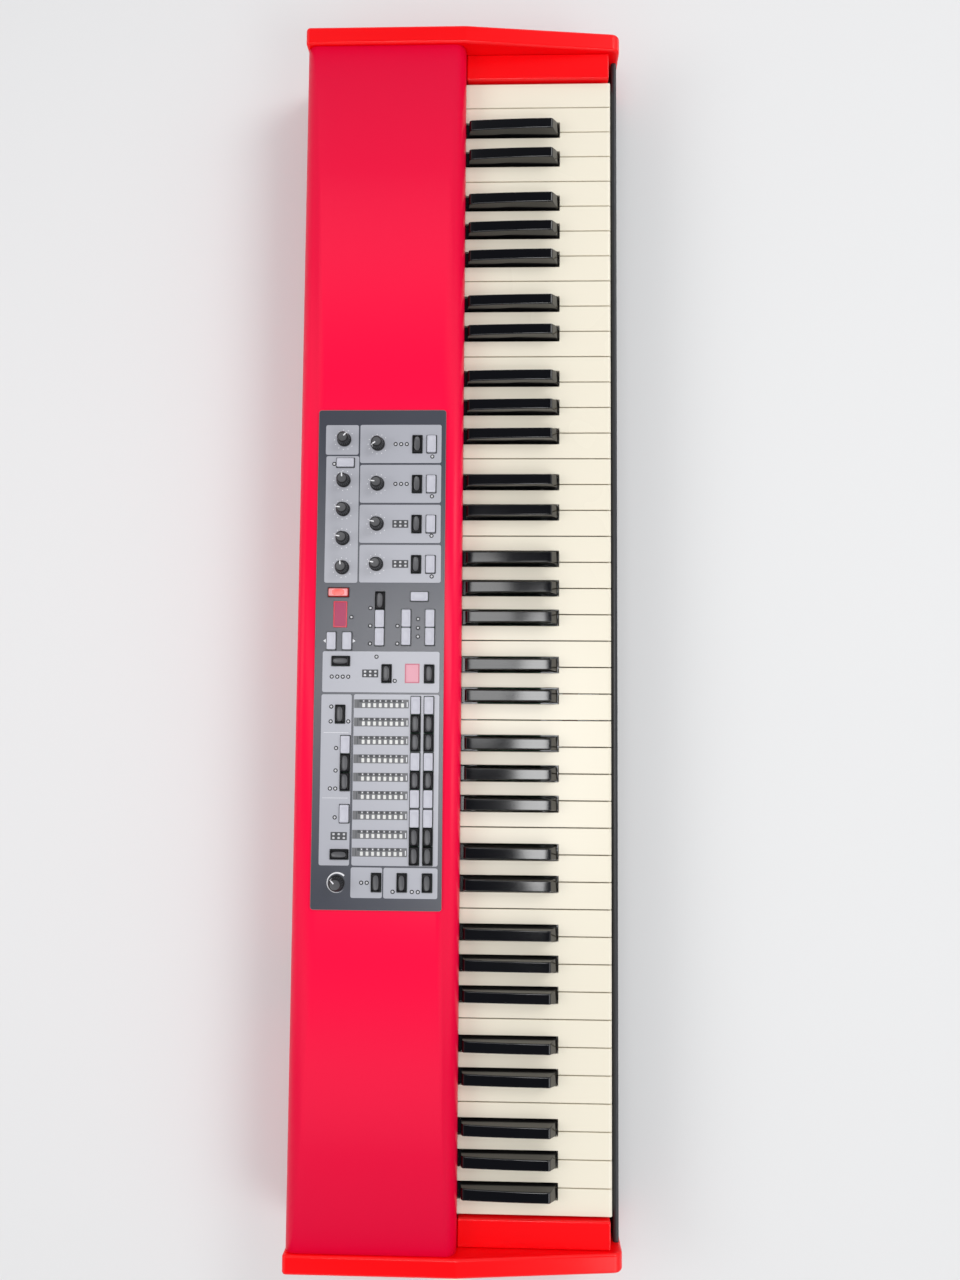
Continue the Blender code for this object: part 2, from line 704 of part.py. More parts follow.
def keybed():
    felt_top = pressed_bottom(FELT_FRONT) - CLEAR - KEY_GAP / 2
    shelf = felt_top - FELT_HEIGHT - CLEAR
    foot = TRAY_FLOOR + CLEAR + SHEET
    flange = PIVOT_Y - SHEET / 2
    path = [
        (KEY_FRONT + FRAME_TOE, foot),
        (KEY_FRONT + FRAME_FRONT, foot),
        (KEY_FRONT + FRAME_FRONT, shelf),
        (KEY_FRONT + FRAME_SHELF_END, shelf),
        (KEY_FRONT + FRAME_SHELF_END, foot),
        (flange, foot),
        (flange, PIVOT_Z - ROD_RADIUS - CLEAR),
    ]
    folded_sheet("keybed_frame", path, KEYS_HALF, STEEL)

    bm = bmesh.new()
    add_cylinder(bm, (0, 0, 0), ROD_RADIUS, 2 * KEYS_HALF, "X")
    place = Matrix.Translation((0.0, PIVOT_Y, PIVOT_Z))
    smooth(add_object("key_pivot_rod", mesh_of(bm, "key_pivot_rod"), STEEL, matrix=place))

    front = KEY_FRONT + FELT_FRONT
    low = (-KEYS_HALF, front, shelf + CLEAR)
    felt = box_object("key_stop_felt", low, (KEYS_HALF, front + FELT_DEPTH, felt_top), FELT)
    bevel(felt, FELT_HEIGHT / 4)

    front = KEY_FRONT + CONTACT_FRONT
    base = shelf + CLEAR
    low = (-KEYS_HALF, front, base)
    high = (KEYS_HALF, front + CONTACT_DEPTH, base + BOARD)
    board = box_object("key_contact_board", low, high, BOARD_GREEN)
    strip_front = CONTACT_FRONT + (CONTACT_DEPTH - CONTACT_STRIP_DEPTH) / 2
    strip_top = pressed_bottom(strip_front) - CLEAR
    low = (-KEYS_HALF + CLEAR, KEY_FRONT + strip_front, base + BOARD / 2)
    high = (KEYS_HALF - CLEAR, KEY_FRONT + strip_front + CONTACT_STRIP_DEPTH, strip_top)
    combine(board, box_object("contact_strip", low, high, None, TOOLS), "UNION")


# Case


def top_shell():
    """Folded cover: hem and bend over the keys, flat panel, rear bend and rear wall."""
    lip = KEY_TOP + PANEL_LIP
    corners = [
        (PANEL_FRONT + PANEL_HEM, lip),
        (PANEL_FRONT, lip),
        (PANEL_FRONT, PANEL_TOP, PANEL_BEND),
        (REAR, PANEL_TOP, PANEL_BEND),
        (REAR, FOOT_HEIGHT + SHELL_LIFT),
    ]
    path = rounded(corners, closed=False)
    shell = folded_sheet("top_shell", path, CASE_HALF, CASE_RED)
    for k, (low_x, high_x, low_y, high_y) in enumerate(panel_windows()):
        low = (low_x, low_y, PANEL_TOP - 4 * SHEET)
        high = (high_x, high_y, PANEL_TOP + 4 * SHEET)
        combine(shell, box_object(f"panel_window_{k + 1}", low, high, None, TOOLS), "DIFFERENCE")
    cutter = add_object("rear_openings", rear_opening_mesh(), None, TOOLS)
    combine(shell, cutter, "DIFFERENCE")


def rear_opening_mesh():
    """Cutter for every hole in the rear wall."""
    bm = bmesh.new()
    middle = REAR - SHEET / 2
    depth = 6 * SHEET
    for x in JACKS_X:
        add_cylinder(bm, (x, middle, SOCKET_Z), JACK_NOSE + CLEAR, depth, "Y", 8)
    for x in DIN_X:
        add_cylinder(bm, (x, middle, SOCKET_Z), DIN_BODY / 2 - CLEAR, depth, "Y", 12)
    openings = [(USB_X, USB_BODY / 2 - CLEAR, USB_BODY / 2 - CLEAR)]
    width, height = module_size()
    openings.append((INLET_X, width / 2 + CLEAR, height / 2 + CLEAR))
    for x, half_x, half_z in openings:
        low = (x - half_x, middle - depth / 2, SOCKET_Z - half_z)
        add_box(bm, low, (x + half_x, middle + depth / 2, SOCKET_Z + half_z))
    return mesh_of(bm, "rear_openings")


def bottom_tray():
    path = [
        (REAR - SHEET - CLEAR, FOOT_HEIGHT + TRAY_REAR_WALL),
        (REAR - SHEET - CLEAR, FOOT_HEIGHT),
        (RAIL_FRONT, FOOT_HEIGHT),
        (RAIL_FRONT, FOOT_HEIGHT + TRAY_FRONT_WALL),
    ]
    folded_sheet("bottom_tray", path, CASE_HALF, STEEL_BLACK)


def front_rail():
    """Rail before the keys, round on top, whose tongue drops behind the tray's front wall."""
    back = RAIL_FRONT + RAIL_DEPTH
    step = RAIL_FRONT + SHEET + CLEAR
    shoulder = FOOT_HEIGHT + TRAY_FRONT_WALL + CLEAR
    top = KEY_TOP - RAIL_DROP
    corners = [
        (RAIL_FRONT, shoulder),
        (step, shoulder),
        (step, shoulder - RAIL_LAP),
        (back, shoulder - RAIL_LAP),
        (back, top, RAIL_ROUND),
        (RAIL_FRONT, top, RAIL_ROUND),
    ]
    rail = prism("front_rail", rounded(corners), -CASE_HALF, CASE_HALF, STEEL_BLACK)
    smooth(rail)


def cheek(name, side):
    """Lacquered wooden end: level beside the panel, then sloping down to a round nose."""
    base = FOOT_HEIGHT - CHEEK_BELOW_BASE
    top = PANEL_TOP + CHEEK_PROUD
    nose = KEY_TOP + CHEEK_NOSE_RISE
    corners = [
        (CHEEK_FRONT, base, CHEEK_HEEL),
        (CHEEK_REAR, base, CHEEK_HEEL),
        (CHEEK_REAR, top, CHEEK_HEEL),
        (PANEL_FRONT, top, CHEEK_SHOULDER),
        (CHEEK_FRONT, nose, CHEEK_NOSE),
    ]
    low = CHEEK_INNER if side > 0 else -CHEEK_INNER - CHEEK_THICKNESS
    obj = prism(name, rounded(corners, 3), low, low + CHEEK_THICKNESS, LACQUER_RED)
    bevel(obj, CHEEK_EDGE, 2)
    smooth(obj)


def key_block(name, side):
    """Hollow lacquered block between the last key and the cheek, standing in the tray."""
    low_x, high_x = sorted((side * BLOCK_INNER, side * CASE_HALF))
    low = Vector((low_x, KEY_FRONT + BLOCK_SETBACK, TRAY_FLOOR + CLEAR))
    high = Vector((high_x, PANEL_FRONT - CLEAR, KEY_TOP + BLOCK_RISE))
    obj = box_object(name, low, high, LACQUER_RED)
    bevel(obj, BLOCK_EDGE, 2)
    inner_low = low + Vector((BLOCK_WALL, BLOCK_WALL, -BLOCK_WALL))
    inner_high = high - Vector((BLOCK_WALL, BLOCK_WALL, BLOCK_WALL))
    combine(obj, box_object(name + "_hollow", inner_low, inner_high, None, TOOLS), "DIFFERENCE")
    smooth(obj)


def feet():
    inset_x, inset_y = FOOT_INSET
    height = FOOT_HEIGHT - CLEAR
    profile = [
        (0.0, height),
        (FOOT_RADIUS, height),
        (FOOT_RADIUS, FOOT_EDGE),
        (FOOT_RADIUS - FOOT_EDGE, 0.0),
        (FOOT_RECESS, 0.0),
        (FOOT_RECESS, height / 2),
        (0.0, height / 2),
    ]
    for end, x in (("left", -CASE_HALF + inset_x), ("right", CASE_HALF - inset_x)):
        for row, y in (("front", RAIL_FRONT + inset_y), ("rear", REAR - inset_y)):
            place = Matrix.Translation((x, y, 0.0))
            smooth(turned(f"foot_{row}_{end}", profile, RUBBER, place, steps=10))


# Control panel


def cap(x, y, lengthwise="x", long_side=BUTTON_LONG, short_side=BUTTON_SHORT):
    """Plan of a button cap as (low x, high x, low y, high y)."""
    half_x, half_y = long_side / 2, short_side / 2
    if lengthwise == "y":
        half_x, half_y = half_y, half_x
    return (x - half_x, x + half_x, y - half_y, y + half_y)


def effect_places():
    return [EFFECT_FIRST + k * EFFECT_PITCH for k in range(4)]


def caps_from_rear(x, places):
    """Caps whose places count from x and forwards from the rear edge of the overlay."""
    return [cap(x + offset, OVERLAY_REAR - rear, lengthwise) for offset, rear, lengthwise in places]


def organ_caps():
    caps = []
    for triplet in range(3):
        for k in (-1, 0, 1):
            x = ORGAN_FIRST + triplet * TRIPLET_PITCH + k * BUTTON_PITCH
            caps += [cap(x, OVERLAY_FRONT + row) for row in DRAWBAR_ROWS]
    x, y = ORGAN_FIRST + SELECTOR_PLACE[0], OVERLAY_REAR - SELECTOR_PLACE[1]
    caps += [cap(x + k * BUTTON_PITCH, y) for k in (-1, 0, 1)]
    caps += caps_from_rear(ORGAN_FIRST, ORGAN_SINGLES)
    return caps + [cap(PRESET_X, OVERLAY_FRONT + row) for row in PRESET_ROWS]


def piano_caps():
    caps = caps_from_rear(PIANO_X, [PIANO_SELECTOR])
    return caps + [cap(PIANO_X, OVERLAY_FRONT + row) for row in reversed(PIANO_ROWS)]


def program_caps():
    x, y = PROGRAM_X + PROGRAM_ROW[0], OVERLAY_FRONT + PROGRAM_ROW[1]
    caps = [cap(x + k * BUTTON_PITCH, y) for k in (-1, 0, 1)]
    for row in PROGRAM_PAIR_ROWS:
        caps += [cap(PROGRAM_X + k * BUTTON_PITCH / 2, OVERLAY_FRONT + row) for k in (-1, 1)]
    x, front = SHIFT_PLACE
    caps.append(cap(PROGRAM_X + x, OVERLAY_FRONT + front, "y"))
    return caps + caps_from_rear(PROGRAM_X, ARROWS_REAR)


def effect_caps():
    caps = [cap(x, OVERLAY_FRONT + row) for x in effect_places() for row in EFFECT_ROWS]
    return caps + [cap(TONE_LAST + TONE_BUTTON_AFTER, OVERLAY_REAR - TONE_BUTTON_REAR, "y")]


def store_cap():
    return cap(PROGRAM_X + STORE_PLACE[0], OVERLAY_REAR - STORE_PLACE[1], "y", STORE_LONG)


def knob_places():
    """Name, x, y and radius of each knob."""
    rear_row = OVERLAY_REAR - REAR_KNOBS
    x, rear = MASTER_PLACE
    places = [("master_knob", PRESET_X + x, OVERLAY_REAR - rear, MASTER_RADIUS)]
    places.append(("drive_knob", EFFECT_LAST + DRIVE_AFTER_EFFECTS, rear_row, KNOB_RADIUS))
    for k in range(4):
        places.append((f"tone_knob_{k + 1}", TONE_FIRST + k * TONE_PITCH, rear_row, KNOB_RADIUS))
    for k, x in enumerate(effect_places()):
        places.append((f"effect_knob_{k + 1}", x, OVERLAY_FRONT + EFFECT_KNOB_ROW, KNOB_RADIUS))
    return places


def program_window():
    x, rear, width, depth = PROGRAM_WINDOW
    return window_box((PROGRAM_X + x, OVERLAY_REAR - rear, width, depth))


def piano_window():
    x, front, width, depth = PIANO_WINDOW
    return window_box((PIANO_X + x, OVERLAY_FRONT + front, width, depth))


def window_box(window):
    x, y, width, depth = window
    return (x - width / 2, x + width / 2, y - depth / 2, y + depth / 2)


def grown(box, margin):
    return (box[0] - margin, box[1] + margin, box[2] - margin, box[3] + margin)


def button_cuts(caps):
    """Cut-outs round the caps. Caps in one row that leave less than a rib between them share one."""
    cuts = []
    for box in sorted(caps, key=lambda c: (round(c[2], 5), round(c[3], 5), c[0])):
        low_x, high_x, low_y, high_y = grown(box, BUTTON_SLIDE)
        same_row = cuts and abs(cuts[-1][2] - low_y) < 1e-6 and abs(cuts[-1][3] - high_y) < 1e-6
        if same_row and low_x - cuts[-1][1] < RIB:
            cuts[-1] = (cuts[-1][0], high_x, low_y, high_y)
        else:
            cuts.append((low_x, high_x, low_y, high_y))
    return cuts


def around(boxes):
    low_x, high_x, low_y, high_y = zip(*boxes)
    return (min(low_x), max(high_x), min(low_y), max(high_y))


def panel_windows():
    """Openings in the cover under each group of controls."""
    stems = {}
    for name, x, y, _ in knob_places():
        stems[name] = (x - SHAFT_RADIUS, x + SHAFT_RADIUS, y - SHAFT_RADIUS, y + SHAFT_RADIUS)
    master = stems.pop("master_knob")
    organ = organ_caps()
    groups = [
        organ[-len(PRESET_ROWS):] + [master],
        organ[:-len(PRESET_ROWS)],
        piano_caps() + [piano_window()],
        program_caps() + [store_cap(), program_window()],
        effect_caps() + list(stems.values()),
    ]
    return [grown(around(group), BUTTON_SLIDE + WINDOW_MARGIN) for group in groups]


def control_overlay():
    """Thin grey plate on the panel, pierced for the knob shafts, buttons and displays."""
    every_cap = organ_caps() + piano_caps() + program_caps() + effect_caps() + [store_cap()]
    outlines = [rectangle((*OVERLAY_X, OVERLAY_FRONT, OVERLAY_REAR), OVERLAY_CORNER, 3)]
    outlines += [rectangle(cut) for cut in button_cuts(every_cap)]
    outlines += [rectangle(grown(box, CLEAR)) for box in (program_window(), piano_window())]
    outlines += [circle(x, y, SHAFT_RADIUS + CLEAR, 8) for _, x, y, _ in knob_places()]
    place = Matrix.Translation((0.0, 0.0, OVERLAY_BOTTOM + OVERLAY_THICKNESS / 2))
    plate("control_overlay", outlines, OVERLAY_THICKNESS, OVERLAY_GREY, place)


def display(name, box, material):
    low_x, high_x, low_y, high_y = box
    low = (low_x, low_y, OVERLAY_BOTTOM - WINDOW_DEPTH)
    box_object(name, low, (high_x, high_y, OVERLAY_TOP), material)


def button_set(name, caps, arms, material):
    """Moulded sheet under the panel with its caps standing up through the overlay."""
    origin = Vector((caps[0][0], caps[0][2], MAT_TOP))
    place = Matrix.Translation(origin)
    bm = bmesh.new()
    for low_x, high_x, low_y, high_y in caps:
        low = Vector((low_x, low_y, MAT_TOP - BUTTON_MAT / 2)) - origin
        add_box(bm, low, Vector((high_x, high_y, OVERLAY_TOP + BUTTON_PROUD)) - origin)
    caps_tool = add_object(name + "_caps", mesh_of(bm, name + "_caps"), None, TOOLS, place)
    first, *others = arms
    bm = bmesh.new()
    low = Vector((first[0], first[2], MAT_BOTTOM)) - origin
    add_box(bm, low, Vector((first[1], first[3], MAT_TOP)) - origin)
    obj = add_object(name, mesh_of(bm, name), material, matrix=place)
    for k, (low_x, high_x, low_y, high_y) in enumerate(others):
        low = (low_x, low_y, MAT_BOTTOM)
        high = (high_x, high_y, MAT_TOP)
        combine(obj, box_object(f"{name}_arm_{k + 1}", low, high, None, TOOLS), "UNION")
    combine(obj, caps_tool, "UNION")


def buttons():
    organ = organ_caps()
    presets = len(PRESET_ROWS)
    rear_caps = 3 + len(ORGAN_SINGLES)
    drawbars = grown(around(organ[:-rear_caps - presets]), MAT_MARGIN)
    selectors = grown(around(organ[-rear_caps - presets:-presets]), MAT_MARGIN)
    pedals = grown(around(organ[-presets:]), MAT_MARGIN)
    spine = (drawbars[0], drawbars[0] + 3 * MAT_MARGIN, drawbars[2], selectors[3])
    bridge = (pedals[0], drawbars[1], drawbars[2], drawbars[2] + 4 * MAT_MARGIN)
    button_set("organ_buttons", organ, [drawbars, selectors, pedals, spine, bridge], CAP_GREY)

    piano = piano_caps()
    spine = (piano[0][0] + BUTTON_SHORT / 2, piano[0][1], piano[2][2], piano[0][3])
    arms = [(box[0], spine[1], box[2], box[3]) for box in piano]
    button_set("piano_buttons", piano, [grown(box, MAT_MARGIN / 3) for box in [spine, *arms]], KNOB_BLACK)

    program = program_caps()
    arrow_count = len(ARROWS_REAR)
    block = grown(around(program[:-arrow_count]), MAT_MARGIN)
    arrows = grown(around(program[-arrow_count:]), MAT_MARGIN)
    arm = (arrows[0], arrows[1], block[2], arrows[3])
    button_set("program_buttons", program, [block, arm], CAP_GREY)

    effect = effect_caps()
    *effect_rows, tone = effect
    block = grown(around(effect_rows), MAT_MARGIN)
    arm = (tone[0], tone[1], block[2], tone[3])
    button_set("effect_buttons", effect, [block, arm], CAP_GREY)

    box = store_cap()
    low = (box[0], box[2], MAT_BOTTOM)
    high = (box[1], box[3], OVERLAY_TOP + BUTTON_PROUD)
    bevel(box_object("store_button", low, high, STORE_RED), BUTTON_SHORT / 8)


def knob(name, x, y, radius):
    """Skirted knob with a bore that fits over its shaft."""
    bore = SHAFT_RADIUS + CLEAR
    depth = SHAFT_HEIGHT - KNOB_LIFT + CLEAR
    stem = radius - KNOB_STEP
    profile = [
        (0.0, KNOB_HEIGHT),
        (stem - KNOB_EDGE, KNOB_HEIGHT),
        (stem, KNOB_HEIGHT - KNOB_EDGE),
        (stem, KNOB_SKIRT),
        (radius, KNOB_SKIRT - KNOB_EDGE),
        (radius, 0.0),
        (bore, 0.0),
        (bore, depth),
        (0.0, depth),
    ]
    place = Matrix.Translation((x, y, OVERLAY_TOP + KNOB_LIFT))
    smooth(turned(name, profile, KNOB_BLACK, place, steps=12))


def panel_board():
    """Board under the panel with the potentiometers and their shafts."""
    low = (OVERLAY_X[0] + 2 * MAT_MARGIN, OVERLAY_FRONT + MAT_MARGIN, PANEL_BOARD_TOP - BOARD)
    high = (OVERLAY_X[1] - 2 * MAT_MARGIN, OVERLAY_REAR - MAT_MARGIN, PANEL_BOARD_TOP)
    board = box_object("panel_board", low, high, BOARD_GREEN)
    half = POT_WIDTH / 2
    body_top = PANEL_TOP - SHEET - CLEAR
    pots = bmesh.new()
    shafts = bmesh.new()
    for _, x, y, _ in knob_places():
        add_box(pots, (x - half, y - half, PANEL_BOARD_TOP - BOARD / 2), (x + half, y + half, body_top))
        length = OVERLAY_TOP + SHAFT_HEIGHT - body_top + CLEAR
        add_cylinder(shafts, (x, y, body_top - CLEAR + length / 2), SHAFT_RADIUS, length, segments=8)
    combine(board, add_object("pots", mesh_of(pots, "pots"), None, TOOLS), "UNION")
    combine(board, add_object("shafts", mesh_of(shafts, "shafts"), None, TOOLS), "UNION")


# Rear sockets and boards


def add_posts(bm, box, bottom, top):
    """Round posts near the four corners of a board."""
    low_x, high_x, low_y, high_y = grown(box, -2 * POST_RADIUS)
    for x in (low_x, high_x):
        for y in (low_y, high_y):
            add_cylinder(bm, (x, y, (bottom + top) / 2), POST_RADIUS, top - bottom, segments=6)


def jack_board():
    """Board behind the rear wall with its jack, round and square sockets, on posts in the tray."""
    width, length, height = JACK_BODY
    top = SOCKET_Z - height / 2 + BOARD / 2
    rear = REAR - SHEET - CLEAR
    every_x = (*JACKS_X, *DIN_X, USB_X)
    low_x, high_x = min(every_x) - width / 2, max(every_x) + width / 2
    plan = (low_x, high_x, rear - JACK_BOARD_DEPTH, rear - CLEAR)
    board = box_object("jack_board", (plan[0], plan[2], top - BOARD), (plan[1], plan[3], top), BOARD_GREEN)
    bodies = bmesh.new()
    noses = bmesh.new()
    bores = bmesh.new()
    base = top - BOARD / 2
    for x in JACKS_X:
        low = (x - width / 2, rear - length, base)
        add_box(bodies, low, (x + width / 2, rear, SOCKET_Z + height / 2))
        reach = REAR - rear + CLEAR
        add_cylinder(noses, (x, REAR - reach / 2, SOCKET_Z), JACK_NOSE, reach, "Y", 8)
        add_cylinder(bores, (x, REAR - length / 2 + CLEAR, SOCKET_Z), JACK_BORE, length - CLEAR, "Y", 8)
    for x in DIN_X:
        half = DIN_BODY / 2 + CLEAR
        add_box(bodies, (x - half, rear - length, base), (x + half, rear, SOCKET_Z + half))
        centre = (x, rear - DIN_DEPTH / 2 + CLEAR, SOCKET_Z)
        add_cylinder(bores, centre, DIN_RADIUS, DIN_DEPTH + CLEAR, "Y", 12)
    half = USB_BODY / 2
    add_box(bodies, (USB_X - half, rear - length, base), (USB_X + half, rear, SOCKET_Z + half))
    half_x, half_z = USB_SIZE[0] / 2, USB_SIZE[1] / 2
    low = (USB_X - half_x, rear - length / 2, SOCKET_Z - half_z)
    add_box(bores, low, (USB_X + half_x, rear + CLEAR, SOCKET_Z + half_z))
    posts = bmesh.new()
    add_posts(posts, plan, TRAY_FLOOR + CLEAR, top - BOARD / 2)
    for label, bm in (("bodies", bodies), ("noses", noses), ("posts", posts)):
        combine(board, add_object("socket_" + label, mesh_of(bm, label), None, TOOLS), "UNION")
    combine(board, add_object("socket_bores", mesh_of(bores, "bores"), None, TOOLS), "DIFFERENCE")


def module_size():
    """Width and height of the mains module's housing: the inlet and the switch side by side."""
    width = INLET_SIZE[0] + SWITCH_SIZE[0] + 4 * INLET_WALL + 2 * CLEAR
    height = max(INLET_SIZE[1], SWITCH_SIZE[1] + 4 * CLEAR) + 2 * INLET_WALL
    return width, height


def switch_place():
    """Middle of the rocker switch, on its hinge."""
    width = module_size()[0]
    x = INLET_X + width / 2 - INLET_WALL - 2 * CLEAR - SWITCH_SIZE[0] / 2
    return Vector((x, REAR - SWITCH_DEPTH / 2, SOCKET_Z))


def power_inlet():
    """Mains module: a socket with three pins beside the opening of the rocker switch."""
    width, height = module_size()
    back = REAR + FLANGE_THICKNESS + CLEAR
    low = (INLET_X - width / 2, REAR - INLET_DEPTH - INLET_WALL, SOCKET_Z - height / 2)
    body = box_object("power_inlet", low, (INLET_X + width / 2, REAR, SOCKET_Z + height / 2), SOCKET_BLACK)
    low = (INLET_X - width / 2 - FLANGE, REAR + CLEAR, SOCKET_Z - height / 2 - FLANGE)
    high = (INLET_X + width / 2 + FLANGE, back, SOCKET_Z + height / 2 + FLANGE)
    flange = box_object("inlet_flange", low, high, None, TOOLS)
    low = (INLET_X - width / 2, REAR - INLET_WALL, SOCKET_Z - height / 2)
    high = (INLET_X + width / 2, back - CLEAR, SOCKET_Z + height / 2)
    neck = box_object("inlet_neck", low, high, None, TOOLS)
    combine(flange, neck, "UNION")
    combine(body, flange, "UNION")
    left = INLET_X - width / 2 + INLET_WALL
    half = INLET_SIZE[1] / 2
    cuts = bmesh.new()
    low = (left, REAR - INLET_DEPTH, SOCKET_Z - half)
    add_box(cuts, low, (left + INLET_SIZE[0], back + CLEAR, SOCKET_Z + half))
    place = switch_place()
    half_x = SWITCH_SIZE[0] / 2 + CLEAR
    half_z = SWITCH_SIZE[1] / 2 + 2 * CLEAR
    low = (place.x - half_x, REAR - INLET_DEPTH, SOCKET_Z - half_z)
    add_box(cuts, low, (place.x + half_x, back + CLEAR, SOCKET_Z + half_z))
    combine(body, add_object("inlet_cavities", mesh_of(cuts, "inlet_cavities"), None, TOOLS), "DIFFERENCE")
    pins = bmesh.new()
    thick, reach, tall = INLET_PIN
    middle = left + INLET_SIZE[0] / 2
    for k, drop in ((-1, 0.0), (0, -INLET_PIN_SPREAD / 2), (1, 0.0)):
        x = middle + k * INLET_PIN_SPREAD
        z = SOCKET_Z + drop + INLET_PIN_SPREAD / 4
        low = (x - thick / 2, REAR - INLET_DEPTH - INLET_WALL / 2, z - tall / 2)
        add_box(pins, low, (x + thick / 2, REAR - INLET_DEPTH + reach, z + tall / 2))
    combine(body, add_object("inlet_pins", mesh_of(pins, "inlet_pins"), None, TOOLS), "UNION")


def power_switch():
    """Rocker whose two faces meet in a shallow valley, leaning to its off side."""
    width, height = SWITCH_SIZE
    outer = (SWITCH_DEPTH / 2) - CLEAR
    tilt = SWITCH_TRAVEL / 2
    reach = height / 2 * math.cos(tilt) - CLEAR
    valley = outer - reach * math.tan(tilt)
    outline = [
        (valley, 0.0),
        (outer, reach),
        (outer - 0.0030, reach),
        (-outer * 0.5, reach * 0.45),
        (-outer * 0.5, -reach * 0.45),
        (outer - 0.0030, -reach),
        (outer, -reach),
    ]
    rocker = plate("power_switch", [outline], width, SOCKET_BLACK, side_on(*switch_place()))
    rocker.matrix_world = Matrix.Translation(switch_place()) @ Matrix.Rotation(tilt, 4, "X") @ side_on(0.0)


def main_board():
    """Circuit board in the tray behind the keybed, with its supply parts, on posts."""
    rear = REAR - 2 * SHEET - 2 * CLEAR - 4 * POST_RADIUS
    plan = (*MAIN_BOARD_X, rear - MAIN_BOARD_DEPTH, rear)
    bottom = TRAY_FLOOR + POST_HEIGHT
    top = bottom + BOARD
    board = box_object("main_board", (plan[0], plan[2], bottom), (plan[1], plan[3], top), BOARD_GREEN)
    bm = bmesh.new()
    add_posts(bm, plan, TRAY_FLOOR + CLEAR, top - BOARD / 2)
    combine(board, add_object("main_posts", mesh_of(bm, "main_posts"), None, TOOLS), "UNION")
    bm = bmesh.new()
    base = top - BOARD / 2
    middle = (plan[2] + plan[3]) / 2
    for x, width, depth, tall in BOARD_BLOCKS:
        low = (x - width / 2, middle - depth / 2, base)
        add_box(bm, low, (x + width / 2, middle + depth / 2, top + tall))
    for x in CAPACITORS_X:
        centre = (x, middle, (base + top + CAPACITOR_HEIGHT) / 2)
        add_cylinder(bm, centre, CAPACITOR_RADIUS, top + CAPACITOR_HEIGHT - base, segments=8)
    combine(board, add_object("main_parts", mesh_of(bm, "main_parts"), None, TOOLS), "UNION")


bottom_tray()
top_shell()
front_rail()
for side_name, side_sign in (("left", -1), ("right", 1)):
    cheek("end_cheek_" + side_name, side_sign)
    key_block("key_block_" + side_name, side_sign)
feet()
keybed()
ROD_SLOT = rod_slot()
for octave_index in range(OCTAVES):
    if octave_index == FREE_OCTAVE:
        free_keys(octave_index)
    else:
        key_sets(octave_index)
control_overlay()
display("program_display", program_window(), DISPLAY_RED)
display("piano_display", piano_window(), DISPLAY_PINK)
buttons()
for knob_name, knob_x, knob_y, knob_radius in knob_places():
    knob(knob_name, knob_x, knob_y, knob_radius)
panel_board()
jack_board()
power_inlet()
power_switch()
main_board()
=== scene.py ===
"""Looks of the stage keyboard: finer keys, controls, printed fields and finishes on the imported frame.

Metres, in the frame's own axes: +X is the player's right, +Y the back and +Z up.
"""

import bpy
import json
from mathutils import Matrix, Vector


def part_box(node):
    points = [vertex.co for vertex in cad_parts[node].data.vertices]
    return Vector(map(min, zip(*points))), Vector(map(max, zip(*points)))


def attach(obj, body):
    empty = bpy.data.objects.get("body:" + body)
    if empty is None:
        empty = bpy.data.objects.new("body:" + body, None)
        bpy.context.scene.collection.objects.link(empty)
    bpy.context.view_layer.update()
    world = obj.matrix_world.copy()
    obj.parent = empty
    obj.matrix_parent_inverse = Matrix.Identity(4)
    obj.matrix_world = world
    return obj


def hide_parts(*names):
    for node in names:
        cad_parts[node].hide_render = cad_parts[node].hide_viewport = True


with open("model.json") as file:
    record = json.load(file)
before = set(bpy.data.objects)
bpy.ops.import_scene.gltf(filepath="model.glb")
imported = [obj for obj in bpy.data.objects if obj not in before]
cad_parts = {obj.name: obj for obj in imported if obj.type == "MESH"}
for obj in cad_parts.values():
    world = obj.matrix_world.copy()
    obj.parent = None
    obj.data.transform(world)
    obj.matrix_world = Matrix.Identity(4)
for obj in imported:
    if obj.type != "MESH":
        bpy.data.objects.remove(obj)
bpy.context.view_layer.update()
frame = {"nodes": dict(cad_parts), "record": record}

import json
import math

import bmesh
import bpy
from mathutils import Euler, Matrix, Vector
from mathutils.geometry import delaunay_2d_cdt

BODIES = frame["record"]["behaviour"]["bodies"]
BODY_OF = {node: body for body, nodes in BODIES.items() for node in nodes}
SLOT_OF = {entry["node"]: entry["material_slot"] for entry in frame["record"]["subparts"]}

# Units and tolerances
MM = 0.001
MICRON = 1e-6
CLOSE = 1e-5
WELD = 1e-7
BEVEL_ANGLE = 40.0

# Camera, backdrop and lights. A light is its name, place, size, power and whether it turns to the middle.
CAMERA_PLACE = (-0.0713, -0.0457, 0.9462)
CAMERA_ANGLES = (3.913, 1.727, -89.583)
SENSOR_HEIGHT = 36.0
LENS = 27.67
FLOOR_HALF = 6.0
SKY_BELOW = (0.15, (0.46, 0.47, 0.50, 1.0))
SKY_LEVEL = (0.50, (1.0, 1.0, 1.0, 1.0))
SKY_ABOVE = (0.86, (0.06, 0.065, 0.08, 1.0))
SKY_STRENGTH = 1.1
LIGHTS = (
    ("sheen_light", (-0.20, -0.10, 2.2), (0.90, 0.38), 9.0, False),
    ("key_light", (1.5, -1.7, 2.1), (1.3, 1.3), 21.5, True),
    ("ceiling_light", (-1.5, -1.5, 2.2), (1.3, 1.3), 14.0, True),
    ("room_light", (0.0, 2.2, 1.8), (1.4, 1.4), 13.0, True),
    ("panel_light", (0.12, 0.37, 2.2), (0.60, 0.56), 4.2, False),
)

